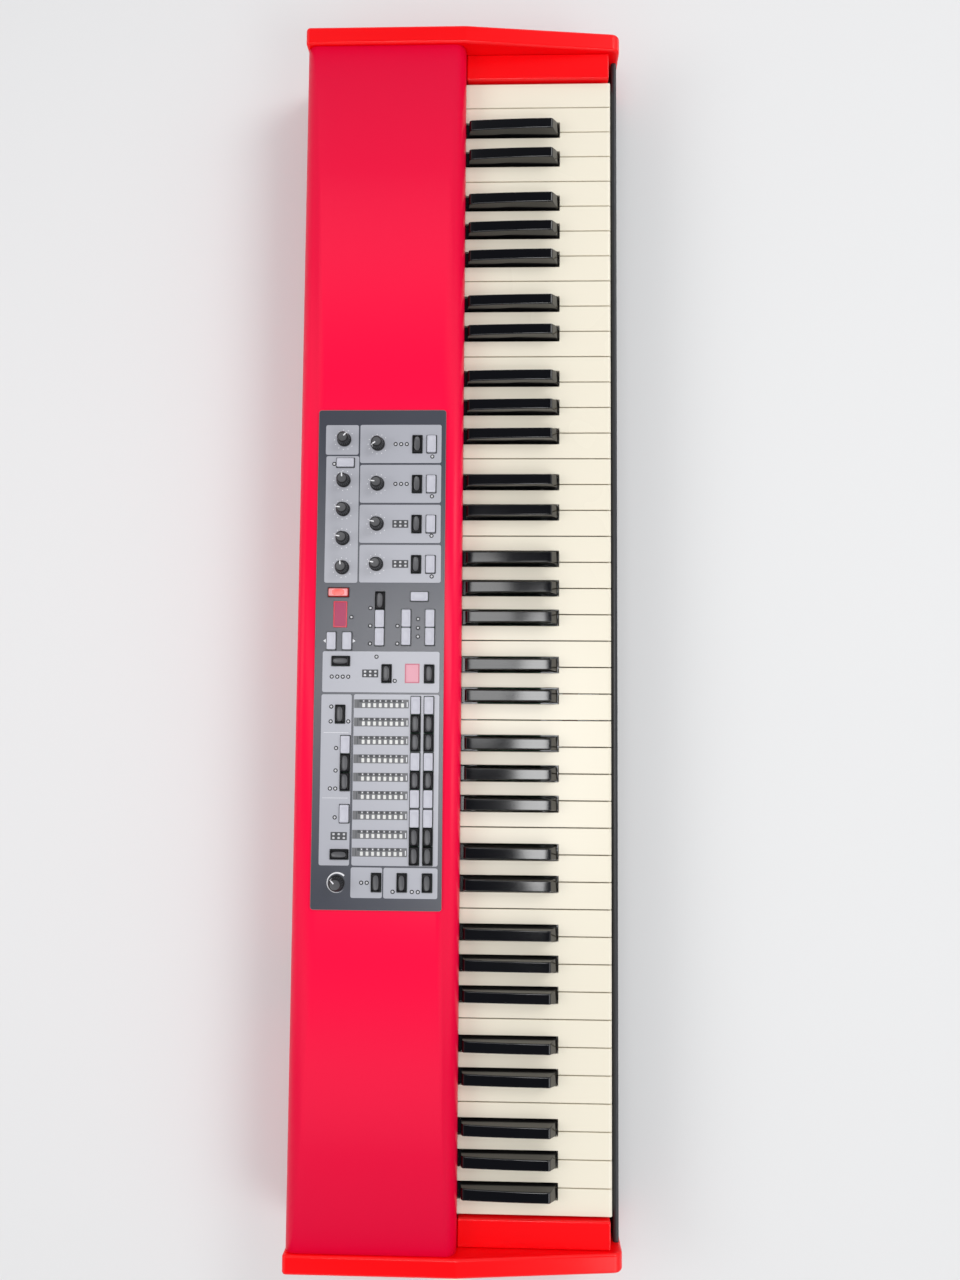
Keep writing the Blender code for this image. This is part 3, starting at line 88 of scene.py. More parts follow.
# Keys
WHITE_KEYS = 43
KEY_PITCH = 0.0236
KEY_GAP = 0.0009
KEY_WALL = 0.0020
KEY_SKIRT = 0.015
LIP_RADIUS = 0.0030
KEY_EDGE = 0.0006
KEY_LENGTH = 0.2000
BLACK_WIDTH = 0.0120
BLACK_TOP_WIDTH = 0.0092
BLACK_SIDE_GAP = 0.0013
BLACK_START = 0.0479
BLACK_NOTCH_GAP = 0.0011
BLACK_SLOPE = 0.0062
BLACK_HEIGHT = 0.0122
BLACK_REAR_HEIGHT = 0.0088
BLACK_CREST = 0.0022
BLACK_REAR_ROUND = 0.0030
BLACK_END_GAP = 0.0030
BLACK_EDGE = 0.0012
ARCH_STEPS = 10
OCTAVE = "FGABCDE"
BLACK_OFFSETS = {"F": -0.0030, "G": 0.0, "A": 0.0030, "C": -0.0020, "D": 0.0020}
FREE_OCTAVE = 2
LAST_OCTAVE = 5
SET_SPANS = {0: "F1_E2", 1: "F2_E3", 3: "F4_E5", 4: "F5_E6", 5: "F6_F7"}
LETTERS = ("F", "Fs", "G", "Gs", "A", "As", "B", "C", "Cs", "D", "Ds", "E")
FIRST_OCTAVE = 1
SEMITONES_BELOW_F = 5

# Places read from the frame
KEYS_LOW, KEYS_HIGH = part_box("key_A3")
KEY_FRONT = KEYS_LOW.y
KEY_TOP = KEYS_HIGH.z
KEYS_HALF = WHITE_KEYS * KEY_PITCH / 2
SHELL_LOW, SHELL_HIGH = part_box("top_shell")
PANEL_FRONT = SHELL_LOW.y
OVERLAY_LOW, OVERLAY_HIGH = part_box("control_overlay")
REAR = SHELL_HIGH.y
SOCKET_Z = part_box("jack_board")[1].z - 0.0093

# Case
PANEL_BEND = 0.0095
SHEET = 0.0012
PANEL_HEM = 0.0060
PANEL_CUT = 0.006
CHEEK_SHOULDER = 0.030
CHEEK_NOSE = 0.0085
CHEEK_HEEL = 0.0040
CHEEK_NOSE_RISE = 0.0080
CHEEK_EDGE = 0.0026
BLOCK_EDGE = 0.0012
RAIL_EDGE = 0.0021
RAIL_SLACK = 0.0003

# Control panel, in millimetres from the middle of the keyboard and from the front of the keys
FIELD_CORNER = 1.7
FIELDS = (
    (151.6, 178.3, 225.7, 255.0),
    (37.1, 150.3, 225.0, 254.3),
    (144.1, 178.5, 152.0, 224.3),
    (108.4, 142.4, 152.0, 224.0),
    (72.6, 106.6, 152.0, 224.0),
    (37.4, 70.8, 151.5, 223.5),
    (-59.1, -23.4, 151.9, 254.4),
    (-208.7, -61.1, 228.3, 254.8),
    (-208.6, -60.9, 151.7, 226.3),
    (-236.1, -210.1, 199.5, 226.8),
    (-236.2, -210.2, 151.7, 198.4),
)
BLACK_CAPS = (
    (-86.2, 160.7), (-86.2, 172.3), (-102.2, 160.7), (-102.2, 172.3), (-135.0, 160.7), (-135.0, 172.3),
    (-183.8, 160.7), (-183.8, 172.3), (-199.8, 160.7), (-199.8, 172.3), (-78.2, 238.4), (-120.7, 233.2),
    (-136.4, 233.2), (-199.1, 237.2), (-222.7, 204.8), (-222.7, 182.6), (-222.7, 160.8), (-31.8, 238.6),
    (-42.7, 198.2), (-42.5, 160.9), (21.4, 204.8), (160.7, 173.5), (124.7, 173.5), (89.3, 173.5),
    (53.5, 173.5),
)
CAP_MATCH = 4.0
LAMPS = (
    (161.1, 192.8), (161.1, 187.8), (161.1, 182.8), (125.3, 192.5), (125.3, 187.5), (125.3, 182.5),
    (149.9, 160.0), (114.2, 160.0), (79.0, 160.0), (42.9, 159.5), (143.3, 247.2), (6.7, 229.7),
    (14.8, 213.0), (-0.8, 213.0), (-16.5, 213.0), (-0.9, 189.0), (-16.4, 189.0), (5.3, 171.0),
    (-2.5, 171.0), (-10.1, 171.0), (-45.6, 246.2), (-45.6, 241.3), (-45.6, 236.5), (-45.6, 231.7),
    (-28.0, 207.1), (-49.0, 190.8), (-71.8, 246.1), (-84.7, 246.4), (-84.6, 231.0), (-107.8, 241.3),
    (-127.2, 241.4), (-142.8, 246.1), (-142.8, 241.4), (-167.6, 241.5), (-223.1, 217.6), (-223.1, 212.7),
    (-230.5, 190.3), (-230.4, 173.7), (-230.5, 168.5),
)
LAMP_BLOCKS = ((86.1, 180.6), (50.5, 180.2), (-46.1, 205.3), (-187.0, 230.6))
LAMP_BLOCK_SIZE = (6.9, 14.2)
BLOCK_COLUMNS = (0.27, 0.73)
BLOCK_ROWS = (0.18, 0.50, 0.82)
BLOCK_LENS = (-0.85, 0.85, -1.05, 1.05)
DRAWBARS = (-69.1, -85.0, -100.9, -116.9, -132.7, -148.4, -165.5, -181.9, -197.1)
STRIP = (7.6, 178.3, 226.0)
STRIP_LAMPS = (183.7, 4.86, 8)
STRIP_LAMP = (-3.0, 0.5, -1.25, 1.25)
STRIP_DIGIT = (1.9, 3.0, -0.4, 0.4)
STRIP_TOOTH = (1.2, 3.7, -1.3, 1.3)
STRIP_LINE = (-3.2, 3.2, -3.6, -3.1)
STRIP_WORD = (-2.6, 1.6, 0.9, 1.7)
SEPARATORS = (-94.4, -150.9)
SEPARATOR = (-0.15, 0.15, 230.5, 252.5)
ARROW_CORNERS = (-15.9, -12.5, -14.2)
ARROWS = ((251.9, 2.3), (228.2, -2.3))

# Print, caps, displays and holes of the overlay
FILM = 0.00006
OVERLAY_CORNER = 0.0025
OVERLAY_LINE = 0.0003
SLIDE_GAP = 0.0004
HOLE_CORNER = 0.0004
FIELD_HOLE_CORNER = 0.0005
SHAFT_HOLE = 0.0033
FIELD_HOLE = 0.0034
HOLE_SIDES = 24
# Widths of the painted shadow lines round the caps: on the player's and low notes' sides, and on the far
# sides
SHADOW_NEAR = 0.00060
SHADOW_FAR = 0.00025
FRAME_CORNER = 0.0008
ROW_MATCH = 0.0003
SIDE_MATCH = 0.0006
DISPLAYS = ("piano_display", "program_display")
DISPLAY_RIM = 0.0010
DISPLAY_CORNER = 0.0006
DISPLAY_RISE = 0.00025
DISPLAY_SINK = 0.0001
DISPLAY_GAP = 0.0002
SWELL_STEPS = 48
SWELL_START = 225.0
SWELL_SWEEP = 270.0
SWELL_INNER = 0.0080
SWELL_OUTER = 0.0081
SWELL_GROWTH = 0.0014
LAMP_DOME = ((0.0, 0.00034), (0.0006, 0.00030), (0.0010, 0.00018))
LAMP_RIM = ((0.0010, 0.00016), (0.00175, 0.00014), (0.00185, 0.0))
DOME_SIDES = 20
RIM_SIDES = 28

# Caps. An edge row is (inset, share of the corner, drop), and a dish row (share across, share along, drop).
BUTTON_SETS = ("organ_buttons", "piano_buttons", "program_buttons", "effect_buttons")
CAP_CORNER = 0.0009
CAP_SINK = 0.0006
CORNER_STEPS = 4
SIDE_STEPS = 4
OVAL_POWER = 0.7
OVAL_SHARES = (0.82, 0.62)
CAP_EDGE = ((0.0, 1.0, 0.00050), (0.00012, 1.0, 0.00018), (0.00040, 0.8, 0.0))
BLACK_DISH = ((1.0, 1.0, 0.0), (0.94, 0.92, 0.00016), (0.70, 0.66, 0.00034), (0.30, 0.30, 0.00040))
GREY_DISH = ((0.74, 0.80, 0.00002), (0.66, 0.73, 0.00026), (0.30, 0.34, 0.00034))
STORE_SIDES = ((0.0, 1.0, 0.0012), (0.0007, 1.0, 0.0003), (0.0012, 1.0, 0.0))
STORE_DISH = ((0.74, 0.62, 0.0002), (0.5, 0.4, 0.0001))

# Knobs, with the way that each pointer shows, and the dots round them
POINTERS = {
    "drive_knob": (1.0, -0.9),
    "tone_knob_4": (1.0, 0.05),
    "tone_knob_3": (0.1, 1.0),
    "tone_knob_2": (0.2, 1.0),
    "tone_knob_1": (1.0, 0.1),
    "effect_knob_4": (-0.55, 0.8),
    "effect_knob_3": (0.15, 1.0),
    "effect_knob_2": (0.2, 1.0),
    "effect_knob_1": (0.2, 1.0),
    "master_knob": (0.8, 0.75),
}
SKIRT_STEP = 0.0009
FLUTES = 18
FLUTE_STEPS = 5
FLUTE_DEPTH = 0.00022
POINTER_INSET = 0.0011
POINTER_START = 0.28
POINTER_HALF = 0.00055
POINTER_DEPTH = 0.0006
POINTER_RISE = 0.00006
POINTER_SIDE_HALF = 0.00052
POINTER_SIDE_START = 0.30
POINTER_SIDE_RISE = 0.00004
POINTER_SIDE_SINK = 0.0001
POINTER_EDGE = 0.0002
TICKS = 11
TICK_SWEEP = 280.0
TICK_CIRCLE = 0.0088
TICK_RADIUS = 0.00042
TICK_SIDES = 10

# Rear wall. A round plate is (radius, sides, radius of its bore, near height, far height).
JACKS_X = (-0.0737, -0.0900, -0.1065, -0.2090, -0.2255, -0.2420, -0.2585)
DIN_X = (-0.1270, -0.1480)
USB_X = -0.1795
CUT_DEPTH = 0.008
CUT_SIDES = 32
JACK_CUT = 0.0053
DIN_CUT = 0.0087
USB_CUT = 0.0154
MODULE_SLACK = 0.0006
BORE_SIDES = 36
JACK_NUT = ((0.0072, 36, 0.0046, 0.0, 0.0004), (0.0068, 6, 0.0045, 0.0004, 0.0026))
JACK_BORE = ((0.0046, 36, 0.0032, -0.024, 0.0029), (0.0034, 36, 0.0, -0.024, -0.022))
DIN_SHELL = (
    (0.0074, 40, 0.0, -0.0073, -0.0070),
    (0.0080, 48, 0.0073, -0.0073, 0.0008),
    (0.0098, 48, 0.0078, 0.0, 0.0008),
)
DIN_FACE = (0.0074, 40, -0.0070, -0.0058)
DIN_ANGLES = (0, 45, 90, 135, 180)
DIN_CIRCLE = 0.0037
DIN_HOLE = (0.0009, 16)
SQUARE_BOX = (-0.0060, 0.0060, -0.0055, 0.0055)
SQUARE_FLOOR = (-0.0145, -0.0140)
SQUARE_WALL = 0.0006
SQUARE_LIP = 0.0002
SQUARE_RISE = 0.0004
SQUARE_CORNER = 0.0008
TONGUE_HALF = (0.0028, 0.0016)
TONGUE_REACH = (0.0148, 0.006)
INLET_X = -0.3300
MODULE_SIZE = (0.0456, 0.0242)
INLET_MIDDLE = 0.0150
INLET_RISE = 0.00175
PIN_PITCH = 0.0070
PINS = ((-1, 0.0), (0, -0.0035), (1, 0.0))
PIN_HALF = (0.0011, 0.0021)
PIN_REACH = (0.0169, 0.0059)
PIN_EDGE = 0.0005
SWITCH_X = -0.3153
SWITCH_DEPTH = 0.0120
SWITCH_LEAN = 8.0
SWITCH_INSET = 0.0003
ON_HALF = 0.0003
ON_REACH = (0.00095, 0.00040)
ON_SPAN = (0.0040, 0.0075)
OFF_RING = ((0.0019, 0.0), (0.0019, 0.0006), (0.0014, 0.0006), (0.0014, 0.0))
OFF_SIDES = 24
OFF_INSET = 0.0010
OFF_DROP = -0.0057

# Screws and feet
SCREW = ((0.0, 0.0005), (0.0012, 0.0005), (0.0012, 0.0013), (0.0022, 0.0013), (0.0029, 0.0007), (0.0030, 0.0))
SCREW_SIDES = 28
REAR_SCREWS_X = (-0.500, -0.390, -0.280, -0.020, 0.140, 0.300, 0.500)
REAR_SCREWS_Z = 0.0180
TRAY_SCREWS_X = (-0.505, -0.300, 0.0, 0.300, 0.505)
TRAY_SCREWS_Y = (0.014, 0.150, -0.012)
FEET = ("foot_front_left", "foot_front_right", "foot_rear_left", "foot_rear_right")
FOOT_SIDES = 48


# Shape tools


def rounded(corners, steps=6, closed=True):
    """Points of an outline whose corners are (a, b) when sharp and (a, b, radius) when round."""
    points = []
    for i, corner in enumerate(corners):
        here = Vector(corner[:2])
        radius = corner[2] if len(corner) > 2 else 0.0
        if not radius or (not closed and i in (0, len(corners) - 1)):
            points.append(here)
            continue
        back = (Vector(corners[i - 1][:2]) - here).normalized()
        ahead = (Vector(corners[(i + 1) % len(corners)][:2]) - here).normalized()
        half = back.angle(ahead) / 2
        centre = here + (back + ahead).normalized() * (radius / math.sin(half))
        start = here + back * (radius / math.tan(half)) - centre
        end = here + ahead * (radius / math.tan(half)) - centre
        sweep = math.atan2(start.cross(end), start.dot(end))
        for step in range(steps + 1):
            points.append(centre + Matrix.Rotation(sweep * step / steps, 2) @ start)
    return [(point[0], point[1]) for point in points]


def rectangle(box, radius=0.0, steps=5):
    low_x, high_x, low_y, high_y = box
    corners = [(low_x, low_y), (high_x, low_y), (high_x, high_y), (low_x, high_y)]
    return rounded([(*corner, radius) for corner in corners], steps)


def circle(x, y, radius, steps):
    turn = 2 * math.pi / steps
    return [(x + radius * math.cos(k * turn), y + radius * math.sin(k * turn)) for k in range(steps)]


def plan(low, high):
    """Box in plan of two opposite corners."""
    return (low.x, high.x, low.y, high.y)


def grown(box, margin):
    return (box[0] - margin, box[1] + margin, box[2] - margin, box[3] + margin)


def around(x, y, box):
    """Box moved by a place."""
    return (x + box[0], x + box[1], y + box[2], y + box[3])


def finish_mesh(bm, name, smooth=True, degrees=35):
    bmesh.ops.recalc_face_normals(bm, faces=bm.faces)
    mesh = bpy.data.meshes.new(name)
    bm.to_mesh(mesh)
    bm.free()
    if smooth:
        mesh.shade_smooth()
        mesh.set_sharp_from_angle(angle=math.radians(degrees))
    return mesh


def add_piece(name, mesh, materials, body, nodes=()):
    """Puts a piece on a body and the nodes that it stands for."""
    obj = bpy.data.objects.new(name, mesh)
    bpy.context.scene.collection.objects.link(obj)
    for material in materials if isinstance(materials, (list, tuple)) else [materials]:
        mesh.materials.append(material)
    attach(obj, body)
    if nodes:
        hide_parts(*nodes)
    return obj


def add_form(bm, name, materials, body, nodes=(), smooth=True, degrees=35):
    """Closes a form's mesh and puts it on a body."""
    return add_piece(name, finish_mesh(bm, name, smooth, degrees), materials, body, nodes)


def bevel(obj, width, segments=4, method="ANGLE"):
    edge = obj.modifiers.new("Edges", "BEVEL")
    edge.width = width
    edge.segments = segments
    edge.limit_method = method
    edge.angle_limit = math.radians(BEVEL_ANGLE)
    edge.harden_normals = True


def thicken(obj, name, thickness):
    solid = obj.modifiers.new(name, "SOLIDIFY")
    solid.thickness = thickness
    solid.offset = -1.0


def holds(outline, x, y):
    """True where a point lies inside a closed outline."""
    inside = False
    for (ax, ay), (bx, by) in zip(outline, outline[1:] + outline[:1]):
        if (ay > y) != (by > y) and x < ax + (y - ay) * (bx - ax) / (by - ay):
            inside = not inside
    return inside


def swept(bm, faces, way):
    """Draws faces out along a vector. Returns the new vertices."""
    made = bmesh.ops.extrude_face_region(bm, geom=faces)["geom"]
    verts = [item for item in made if isinstance(item, bmesh.types.BMVert)]
    bmesh.ops.translate(bm, verts=verts, vec=way)
    return verts


def plate_mesh(name, outlines, low_z, high_z):
    """Flat plate from closed outlines in plan: the first outside, the rest its holes."""
    points, edges = [], []
    for outline in outlines:
        first, count = len(points), len(outline)
        points += [Vector(point) for point in outline]
        edges += [(first + k, first + (k + 1) % count) for k in range(count)]
    places, _, triangles = delaunay_2d_cdt(points, edges, [], 1, WELD)[:3]
    bm = bmesh.new()
    verts = [bm.verts.new((place.x, place.y, low_z)) for place in places]
    faces = []
    for triangle in triangles:
        x = sum(places[k].x for k in triangle) / 3
        y = sum(places[k].y for k in triangle) / 3
        if holds(outlines[0], x, y) and not any(holds(hole, x, y) for hole in outlines[1:]):
            faces.append(bm.faces.new([verts[k] for k in triangle]))
    swept(bm, faces, (0.0, 0.0, high_z - low_z))
    bmesh.ops.delete(bm, geom=[vert for vert in bm.verts if not vert.link_faces], context="VERTS")
    return finish_mesh(bm, name, smooth=False)


def joined_mesh(name, meshes):
    """One mesh from several."""
    bm = bmesh.new()
    for mesh in meshes:
        bm.from_mesh(mesh)
    mesh = bpy.data.meshes.new(name)
    bm.to_mesh(mesh)
    bm.free()
    return mesh


def side_prism(bm, outline, low_x, high_x):
    """Bar along X with an outline in (Y, Z). Returns its vertices."""
    low = [bm.verts.new((low_x, y, z)) for y, z in outline]
    return low + swept(bm, [bm.faces.new(low)], (high_x - low_x, 0.0, 0.0))


def add_box(bm, low, high):
    low, high = Vector(low), Vector(high)
    placed = Matrix.Translation((low + high) / 2) @ Matrix.Diagonal((*(high - low), 1.0))
    bmesh.ops.create_cube(bm, size=1.0, matrix=placed)


def add_turned(bm, profile, centre, steps, rearward=False, material=0):
    """Adds a turned form, upright or lying towards the back. Its profile holds (radius, height) points."""
    turn = Matrix.Rotation(-math.pi / 2, 4, "X") if rearward else Matrix.Identity(4)
    place = Matrix.Translation(centre) @ turn
    rings = []
    for radius, height in profile:
        if radius < CLOSE:
            rings.append([bm.verts.new(place @ Vector((0.0, 0.0, height)))])
            continue
        ring = [place @ Vector((x, y, height)) for x, y in circle(0.0, 0.0, radius, steps)]
        rings.append([bm.verts.new(point) for point in ring])
    for upper, lower in zip(rings, rings[1:]):
        for k in range(steps):
            after = (k + 1) % steps
            places = [(upper, k), (upper, after), (lower, after), (lower, k)]
            corners = list(dict.fromkeys(ring[i % len(ring)] for ring, i in places))
            if len(corners) > 2:
                bm.faces.new(corners).material_index = material


def panel_point(x, y):
    """Metres in the frame for a panel place in millimetres."""
    return x * MM, KEY_FRONT + y * MM


def panel_box(low_x, high_x, low_y, high_y):
    return (*[x * MM for x in (low_x, high_x)], *[KEY_FRONT + y * MM for y in (low_y, high_y)])


def even_ring(box, radius, z):
    """Points round a rectangle with round corners, also along its straight sides."""
    corners = rectangle(box, radius, CORNER_STEPS)
    points = []
    for i, point in enumerate(corners):
        points.append(Vector((*point, z)))
        if i % (CORNER_STEPS + 1) == CORNER_STEPS:
            ahead = Vector((*corners[(i + 1) % len(corners)], z))
            for step in range(1, SIDE_STEPS):
                points.append(points[-1].lerp(ahead, 1 / (SIDE_STEPS - step + 1)))
    return points


def squarer(share):
    """Cosine or sine drawn out, for an oval with fuller ends."""
    return math.copysign(abs(share) ** OVAL_POWER, share)


def oval_ring(ring, box, share_x, share_y, z):
    """Full oval in a rectangle, with one point for each point of the ring round it."""
    middle = Vector(((box[0] + box[1]) / 2, (box[2] + box[3]) / 2))
    half_x, half_y = (box[1] - box[0]) / 2, (box[3] - box[2]) / 2
    points = []
    for point in ring:
        angle = math.atan2((point.y - middle.y) / half_y, (point.x - middle.x) / half_x)
        x = middle.x + half_x * share_x * squarer(math.cos(angle))
        y = middle.y + half_y * share_y * squarer(math.sin(angle))
        points.append(Vector((x, y, z)))
    return points


def skin(bm, rings, materials):
    """Joins rings of points from the bottom up, and closes the last one."""
    rows = [[bm.verts.new(point) for point in ring] for ring in rings]
    for k, (lower, upper) in enumerate(zip(rows, rows[1:])):
        for i in range(len(lower)):
            after = (i + 1) % len(lower)
            face = bm.faces.new((lower[i], lower[after], upper[after], upper[i]))
            face.material_index = materials[k]
    bm.faces.new(rows[-1]).material_index = materials[-1]
    bm.faces.new(list(reversed(rows[0])))


# Materials

MIX_FACTOR, MIX_A, MIX_B, MIX_RESULT = 0, 6, 7, 2
GLOSS_SPREAD = 0.05
LEAST_ROUGHNESS = 0.02
BROAD_DETAIL = 4.0
FINE_DETAIL = 3.0


def finish(name, colour, roughness, mottle, grain, metallic=0.0, stretch=(1.0, 1.0, 1.0),
           coat=0.0, coat_roughness=0.05, specular=0.5, emission=0.0):
    """Material whose colour and gloss drift with a broad noise and whose surface has a fine one.

    The mottle is (scale, share of the colour) and the grain is (scale, height in micrometres).
    """
    material = bpy.data.materials.new(name)
    material.use_nodes = True
    nodes, links = material.node_tree.nodes, material.node_tree.links
    shader = nodes["Principled BSDF"]
    shader.inputs["Metallic"].default_value = metallic
    shader.inputs["Coat Weight"].default_value = coat
    shader.inputs["Coat Roughness"].default_value = coat_roughness
    shader.inputs["Specular IOR Level"].default_value = specular
    if emission:
        shader.inputs["Emission Color"].default_value = (*colour, 1.0)
        shader.inputs["Emission Strength"].default_value = emission
    place = nodes.new("ShaderNodeTexCoord")
    mapping = nodes.new("ShaderNodeMapping")
    mapping.inputs["Scale"].default_value = stretch
    links.new(place.outputs["Object"], mapping.inputs["Vector"])
    broad, fine = nodes.new("ShaderNodeTexNoise"), nodes.new("ShaderNodeTexNoise")
    for noise, scale, detail in ((broad, mottle[0], BROAD_DETAIL), (fine, grain[0], FINE_DETAIL)):
        noise.inputs["Scale"].default_value = scale
        noise.inputs["Detail"].default_value = detail
        links.new(mapping.outputs["Vector"], noise.inputs["Vector"])

    blend = nodes.new("ShaderNodeMix")
    blend.data_type = "RGBA"
    dark = [channel * (1 - mottle[1]) for channel in colour]
    light = [min(1.0, channel * (1 + mottle[1])) for channel in colour]
    blend.inputs[MIX_A].default_value = (*dark, 1.0)
    blend.inputs[MIX_B].default_value = (*light, 1.0)
    links.new(broad.outputs["Fac"], blend.inputs[MIX_FACTOR])
    links.new(blend.outputs[MIX_RESULT], shader.inputs["Base Color"])

    bump = nodes.new("ShaderNodeBump")
    bump.inputs["Distance"].default_value = grain[1] * MICRON
    links.new(fine.outputs["Fac"], bump.inputs["Height"])
    links.new(bump.outputs["Normal"], shader.inputs["Normal"])

    gloss = nodes.new("ShaderNodeMapRange")
    gloss.inputs["To Min"].default_value = max(LEAST_ROUGHNESS, roughness - GLOSS_SPREAD)
    gloss.inputs["To Max"].default_value = roughness + GLOSS_SPREAD
    links.new(broad.outputs["Fac"], gloss.inputs["Value"])
    links.new(gloss.outputs["Result"], shader.inputs["Roughness"])
    return material


CASE_RED = finish("case_red_paint", (0.94, 0.001, 0.050), 0.36, (3.0, 0.03), (1400.0, 10), specular=0.20)
LACQUER = finish("red_lacquer", (0.94, 0.001, 0.004), 0.30, (30.0, 0.06), (260.0, 40),
                 stretch=(1.0, 0.12, 1.0), coat=0.22, coat_roughness=0.12, specular=0.2)
IVORY = finish("key_cream", (0.84, 0.785, 0.65), 0.26, (4.0, 0.02), (220.0, 4), specular=0.3)
KEY_BLACK = finish("key_black_gloss", (0.0025, 0.0025, 0.0035), 0.12, (20.0, 0.2), (300.0, 3), specular=0.62)
STEEL_BLACK = finish("black_case_paint", (0.022, 0.023, 0.027), 0.38, (12.0, 0.1), (1800.0, 12))
STEEL = finish("plated_steel", (0.55, 0.56, 0.58), 0.34, (40.0, 0.06), (500.0, 6), metallic=1.0)
OVERLAY = finish("overlay_dark_grey", (0.030, 0.034, 0.052), 0.32, (9.0, 0.10), (2600.0, 6), specular=1.0)
FIELD = finish("field_light_grey", (0.385, 0.39, 0.435), 0.36, (14.0, 0.03), (2600.0, 4), specular=1.0)
PRINT_WHITE = finish("print_white", (0.80, 0.80, 0.82), 0.55, (6.0, 0.04), (2600.0, 2))
PRINT_MID = finish("print_mid_grey", (0.15, 0.152, 0.16), 0.5, (6.0, 0.04), (2600.0, 3))
# Dark grey of the print; the same colour also makes the painted shadow lines round the caps
DARK_PRINT_AND_SHADOW = finish("dark_grey_print_and_shadow", (0.060, 0.062, 0.068), 0.5, (6.0, 0.04), (2600.0, 3))
STRIP_LENS = finish("strip_lens", (0.70, 0.70, 0.68), 0.3, (80.0, 0.05), (900.0, 3))
CAP_GREY = finish("cap_light_grey", (0.52, 0.52, 0.58), 0.38, (60.0, 0.03), (1500.0, 5))
CAP_BLACK = finish("cap_black", (0.004, 0.004, 0.005), 0.30, (60.0, 0.2), (1500.0, 4), specular=0.2)
CAP_DISH = finish("cap_dish_grey", (0.082, 0.082, 0.088), 0.34, (60.0, 0.1), (1500.0, 6))
KNOB_BLACK = finish("knob_black", (0.008, 0.008, 0.009), 0.34, (60.0, 0.2), (1500.0, 6))
KNOB_TOP = finish("knob_top_grey", (0.075, 0.075, 0.080), 0.36, (60.0, 0.1), (1500.0, 6))
# Store cap: the centre red carries a painted glow (emission), the pink rim is a painted highlight and the
# darker red of the sides is painted shade
STORE_RED_PAINTED_GLOW = finish("store_red", (0.90, 0.115, 0.10), 0.22, (60.0, 0.05), (900.0, 3), emission=0.18)
STORE_RIM_PAINTED_HIGHLIGHT = finish("store_rim_painted_highlight", (0.86, 0.34, 0.35), 0.3, (60.0, 0.05), (900.0, 3))
STORE_SIDE_PAINTED_SHADE = finish("store_side_painted_shade", (0.42, 0.010, 0.008), 0.3, (60.0, 0.05), (900.0, 3))
DISPLAY_RED_RIM = finish("display_red_rim", (0.60, 0.010, 0.045), 0.25, (60.0, 0.05), (900.0, 2))
DISPLAY_PINK_RIM = finish("display_pink_rim", (0.52, 0.13, 0.19), 0.3, (60.0, 0.05), (900.0, 2))
DISPLAY_RED = finish("display_red", (0.38, 0.036, 0.105), 0.30, (60.0, 0.05), (900.0, 2), specular=0.35)
DISPLAY_PINK = finish("display_pink", (0.71, 0.33, 0.40), 0.30, (60.0, 0.04), (900.0, 2), specular=0.35)
LAMP_LENS = finish("lamp_lens", (0.58, 0.58, 0.60), 0.25, (80.0, 0.05), (900.0, 3))
LAMP_RING = finish("lamp_ring", (0.008, 0.008, 0.010), 0.5, (6.0, 0.04), (900.0, 3), specular=0.2)
FELT = finish("felt_red", (0.30, 0.02, 0.03), 0.95, (200.0, 0.3), (2200.0, 80))
BOARD_GREEN = finish("board_green", (0.02, 0.15, 0.06), 0.45, (40.0, 0.15), (900.0, 10))
SOCKET_BLACK = finish("socket_black", (0.014, 0.014, 0.015), 0.38, (60.0, 0.15), (1200.0, 8))
RUBBER = finish("rubber_black", (0.020, 0.020, 0.021), 0.80, (80.0, 0.15), (1200.0, 30))

CAD_FINISH = {
    "case_red": CASE_RED, "lacquer_red": LACQUER, "key_ivory": IVORY, "key_black": KEY_BLACK,
    "black_steel": STEEL_BLACK, "plated_steel": STEEL, "overlay_grey": OVERLAY, "cap_grey": CAP_GREY,
    "knob_black": KNOB_BLACK, "store_red": STORE_RED_PAINTED_GLOW, "display_red": DISPLAY_RED,
    "display_pink": DISPLAY_PINK, "felt_red": FELT, "board_green": BOARD_GREEN,
    "socket_black": SOCKET_BLACK, "rubber_black": RUBBER,
}
for node_name, node_object in frame["nodes"].items():
    for material_slot in node_object.material_slots:
        material_slot.material = CAD_FINISH[SLOT_OF[node_name]]


# Keys


def black_centre(i):
    """Middle of the black key above white key i, or None where there is none."""
    letter = OCTAVE[i % len(OCTAVE)]
    if letter not in BLACK_OFFSETS or not 0 <= i < WHITE_KEYS - 1:
        return None
    return -KEYS_HALF + (i + 1) * KEY_PITCH + BLACK_OFFSETS[letter]


def key_node(i, black):
    """CAD node that holds white key i, or the black key above it."""
    octave = min(i // len(OCTAVE), LAST_OCTAVE)
    if octave != FREE_OCTAVE:
        return ("black_keys_" if black else "white_keys_") + SET_SPANS[octave]
    semitone = len(LETTERS) * octave + LETTERS.index(OCTAVE[i % len(OCTAVE)]) + black
    number = FIRST_OCTAVE + (semitone + SEMITONES_BELOW_F) // len(LETTERS)
    return f"key_{LETTERS[semitone % len(LETTERS)]}{number}"


